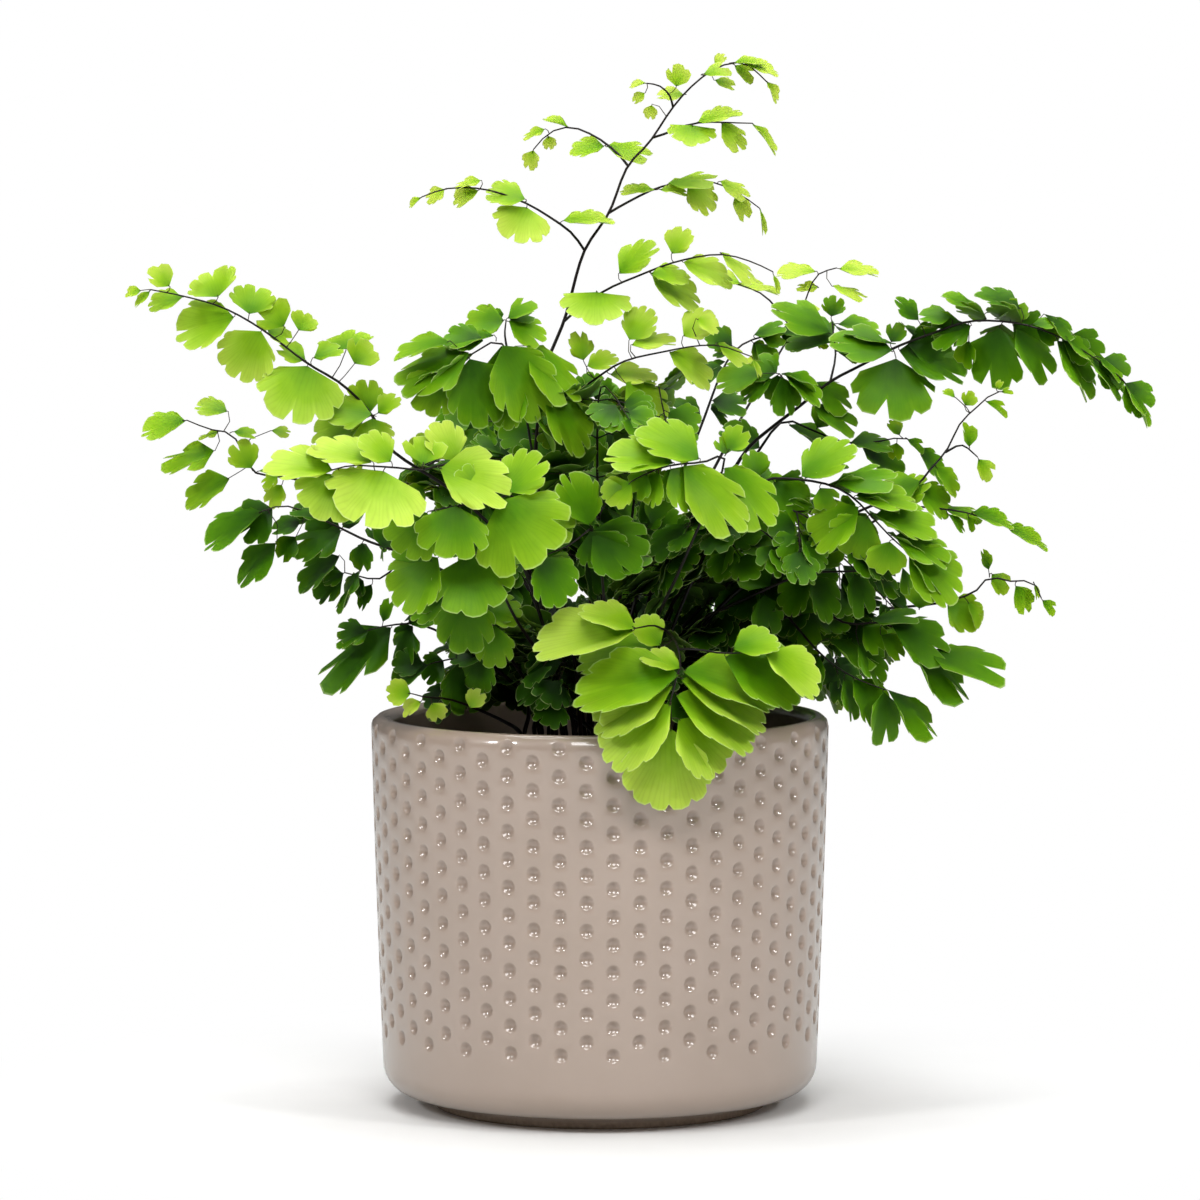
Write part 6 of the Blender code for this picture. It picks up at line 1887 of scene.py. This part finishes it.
def partner(leaf, root, branch_way, tone, cleft, rng):
    """A smaller leaflet behind a laid-out one, turned about the branch, away from the front."""
    turn_by = Matrix.Rotation(math.radians(rng.uniform(28, 50)), 3, branch_way)
    if (turn_by @ leaf.wish.ahead).y < leaf.wish.ahead.y:
        turn_by = turn_by.transposed()
    ahead, across = turn_by @ leaf.wish.ahead, turn_by @ leaf.wish.across
    long, wide = leaf.length * rng.uniform(0.75, 0.95), leaf.width * rng.uniform(0.75, 0.95)
    base = root + branch_way * rng.uniform(-0.003, 0.003) + ahead * 0.0012
    return (base, ahead, facing_light(ahead, across), (wide, long, long),
            pattern_for(long, wide, rng, cleft), tone)


def side_branch(root, leaf, tone, rng):
    """A branch with leaflets in place of one leaf place."""
    tip = leaf.base + leaf.ahead * leaf.length * 0.55 - Vector((0, 0, 0.06 * leaf.length))
    line = Path([root, leaf.base + leaf.ahead * 0.1 * leaf.length, leaf.base.lerp(tip, 0.55), tip])
    count = 6 if leaf.length > 15 * MM else 5
    return twig(line, leaf.across, leaf.length * 0.62, count, tone, rng)


def low_branch(stem, rng):
    """A branch near the rim that leans out from a stem's lower part; its darkest tone is painted shade."""
    start = stem.point(stem.length * rng.uniform(0.12, 0.30))
    around = math.atan2(start.y, start.x) + rng.uniform(-0.6, 0.6)
    out = Vector((math.cos(around), math.sin(around), 0))
    far = rng.uniform(0.030, 0.050)
    high = rng.uniform(0.124, 0.150)
    end = out * far + Vector((0, 0, high - rng.uniform(0.0, 0.006)))
    line = Path([start, start.lerp(end, 0.55) + Vector((0, 0, 0.006)), end])
    side = Vector((-out.y, out.x, rng.uniform(-0.5, 0.5))).normalized()
    # a tone at the dark end of the ramp: painted shade
    return twig(line, side, rng.uniform(0.0105, 0.0140), 5, rng.uniform(0.0, 0.14), rng)


def stem_chain(path, side_branch, fresh):
    """A stem or side branch: points with a radius that tapers and a tone that gets greener."""
    steps = max(6, int(path.length / 0.004))
    thick = STEM_R * 0.58 if side_branch else STEM_R
    taper = 0.9 if side_branch else 1.4
    return [(path.point(path.length * k / steps), thick + (TIP_R - thick) * (k / steps) ** taper,
             fresh + 0.25 * (k / steps) ** 3) for k in range(steps + 1)]


def laid_out_leaflet(frond, index, s, leaf, rng):
    """One laid-out leaflet and its stalk, with a partner behind it in the fullest fronds."""
    name, path = frond.name, frond.paths[index]
    root = path.point(s)
    # paler towards the tip: younger growth, and on the frond over the rim also painted light on its lit tip
    tip_pale_and_lit = 0.70 if name == "over_rim" else 0.12  # towards the tip
    tone = TONES[name] + rng.uniform(-0.10, 0.10) + tip_pale_and_lit * (s / path.length - 0.6)
    ahead, across = leaf.wish.ahead, leaf.wish.across
    cleft = name in CLEFT_FRONDS
    if (leaf.base - root).length > 0.4 * MM:
        stalk = bent_stalk(root, leaf.base, ahead, 0.2 + 0.3 * tone)
    else:
        stalk = [(root, TIP_R, 0.3), (leaf.base + ahead * 0.0012, LEAF_STALK_R, 0.3)]
    fuller, wide = FULLER.get(name, FULL), leaf.width * WIDER.get(name, 1.0)
    long = leaf.length * fuller
    if name == "over_rim" and leaf.length > 8 * MM:
        pattern = rng.choice(SHINGLE)
    else:
        pattern = pattern_for(leaf.length, wide, rng, cleft)
    places = [(leaf.base + ahead * LEAF_START, ahead, facing_light(ahead, across),
               (wide * fuller, long, long), pattern, tone)]
    if name in LAYERED and leaf.length > 7 * MM and rng.random() < 0.75:
        # the partner behind is painted 0.10 darker: painted shade
        places.append(partner(leaf, root, path.ahead(s, MM), tone - 0.10, cleft, rng))
    return places, [stalk]


def dress(frond, rng):
    """All leaflets and stalk chains of a frond."""
    laid = frond.name in TONES
    fresh = 0.0 if laid and TONES[frond.name] < 0.8 else 0.10
    places = []
    chains = [stem_chain(path, index > 0, fresh) for index, path in enumerate(frond.paths)]
    grown = []
    for index, s, leaf in frond.leaves:
        if laid:
            grown.append(laid_out_leaflet(frond, index, s, leaf, rng))
        else:
            # leaves lower in the middle are painted darker: painted shade of the foliage above them
            high = (leaf.base.z / MM - 120) / 110  # from the rim to the top of the middle
            tone = 0.06 + 0.26 * max(0.0, min(1.0, high)) + rng.uniform(-0.05, 0.10)
            grown.append(side_branch(frond.paths[index].point(s), leaf, tone, rng))
    if not laid:
        grown += [low_branch(frond.paths[0], rng) for _ in range(3)]
    for more_places, more_chains in grown:
        places += more_places
        chains += more_chains
    return places, chains


leaf_shelf = shelf("leaflet_patterns", leaflet_shapes)
leaf_count, face_count, loose = 0, 0, 0
for number, frond in enumerate(fronds):
    places, chains = dress(frond, random.Random(100 + number))
    seed_mesh = point_mesh("frond_points", places, chains)
    add_tree(seed_mesh, plant_tree, plant_keys,
             {"Shapes": leaf_shelf, "Shape material": leaf_skin, "Stalk material": stalk_skin})
    piece = bake(seed_mesh, "fern_" + frond.name)
    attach(piece, "root")
    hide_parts("frond_%02d" % (number + 1))
    leaf_count += len(places)
    face_count += len(piece.data.polygons)
    loose += open_edges(piece)
clear_shelf(leaf_shelf)
print("leaflets:", leaf_count, "faces:", face_count, "open edges:", loose)

# %% [markdown]
# ## Floor and light
#
# The plant stands on a plain white sweep, as in a studio. A broad key light high above the
# camera and a large soft box overhead light the leaves and round off the pot. Two small boxes
# far out at the front corners are there for the glaze: each dimple mirrors both as a pair of
# glints. To the camera the surroundings are white.

# %% Studio
WHITE = (1, 1, 1, 1)


def studio_floor():
    """Matt white paper; further out it is lit up to pure white, as a backdrop light does."""
    mesh = bmesh.new()
    bmesh.ops.create_grid(mesh, x_segments=1, y_segments=1, size=6.0)
    floor = as_object(mesh, "studio_floor")
    material, shader, add = new_material("matt_white_sweep")
    place = add("ShaderNodeTexCoord").outputs["Object"]
    grain = add(NOISE, {"Vector": place, "Scale": 30.0})  # patches of 33 mm
    seen = add("ShaderNodeLightPath").outputs["Is Camera Ray"]
    paper = add(RAMP, [grain], [(0.3, "#F6F6F5"), (0.7, "#F9F9F8")])
    sheet = add(MIX_COLOURS, {"Factor": seen, FIRST: linear("#D2D2D0"), SECOND: paper})
    feed(shader, {"Base Color": sheet.outputs[MIXED], "Roughness": 0.9, "Specular IOR Level": 0.1})
    away = add("ShaderNodeVectorMath", [place], operation="LENGTH").outputs["Value"]
    far = add(MAP_RANGE, {"Value": away, "From Min": 0.078, "From Max": 0.21},
              interpolation_type="SMOOTHSTEP")
    glow = add("ShaderNodeEmission", {"Color": WHITE, "Strength": 1.0})
    lit = add(MULTIPLY, [far, seen])
    both = add("ShaderNodeMixShader", [lit, shader, glow])
    feed(material.node_tree.nodes["Material Output"], {"Surface": both})
    floor.data.materials.append(material)
    floor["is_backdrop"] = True


def soft_box(name, place, target, size, power):
    data = bpy.data.lights.new(name, "AREA")
    data.shape, data.size, data.size_y, data.energy = "RECTANGLE", size[0], size[1], power
    lamp = bpy.data.objects.new(name, data)
    lamp.location = place
    lamp.rotation_euler = (Vector(target) - Vector(place)).to_track_quat("-Z", "Y").to_euler()
    bpy.context.scene.collection.objects.link(lamp)


def white_surroundings():
    """Pure white to the camera; the leaves and the glaze see a dome that is dim low down."""
    world = bpy.data.worlds.new("white_surroundings")
    bpy.context.scene.world = world
    world.use_nodes = True
    world.node_tree.nodes.clear()
    add = partial(node, world.node_tree)
    seen = add("ShaderNodeBackground", {"Color": WHITE, "Strength": 1.0})
    height = add(SPLIT, [add("ShaderNodeTexCoord").outputs["Generated"]]).outputs["Z"]
    dome = add(MAP_RANGE, {"Value": height, "From Min": 0.0, "From Max": 0.8, "To Min": 0.05,
                           "To Max": 0.30})
    felt = add("ShaderNodeBackground", {"Color": WHITE, "Strength": dome})
    rays = add("ShaderNodeLightPath").outputs["Is Camera Ray"]
    add("ShaderNodeOutputWorld", [add("ShaderNodeMixShader", [rays, felt, seen])])


studio_floor()
white_surroundings()
soft_box("left_box", (-1.22, -0.84, 0.95), (0, 0, 0.08), (0.24, 0.24), 7.0)
soft_box("right_box", (1.22, -0.84, 0.95), (0, 0, 0.08), (0.24, 0.24), 7.4)
soft_box("top", (0.0, 0.10, 1.70), (0, 0, 0.12), (1.2, 1.2), 19.0)
soft_box("front_key", (0.0, -1.50, 1.40), (0, 0, 0.10), (1.0, 0.7), 17.0)

# %% [markdown]
# ## Check the size and finish
#
# The visual model has to stay inside the physical model's box, apart from a few millimetres of
# leaf.

# %% Finish
low, high = [list(corner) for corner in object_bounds()]
print("proud of the frame, mm:", [round((a - b) / MM, 1) for a, b in zip(cad_low, low)],
      [round((b - a) / MM, 1) for a, b in zip(cad_high, high)])
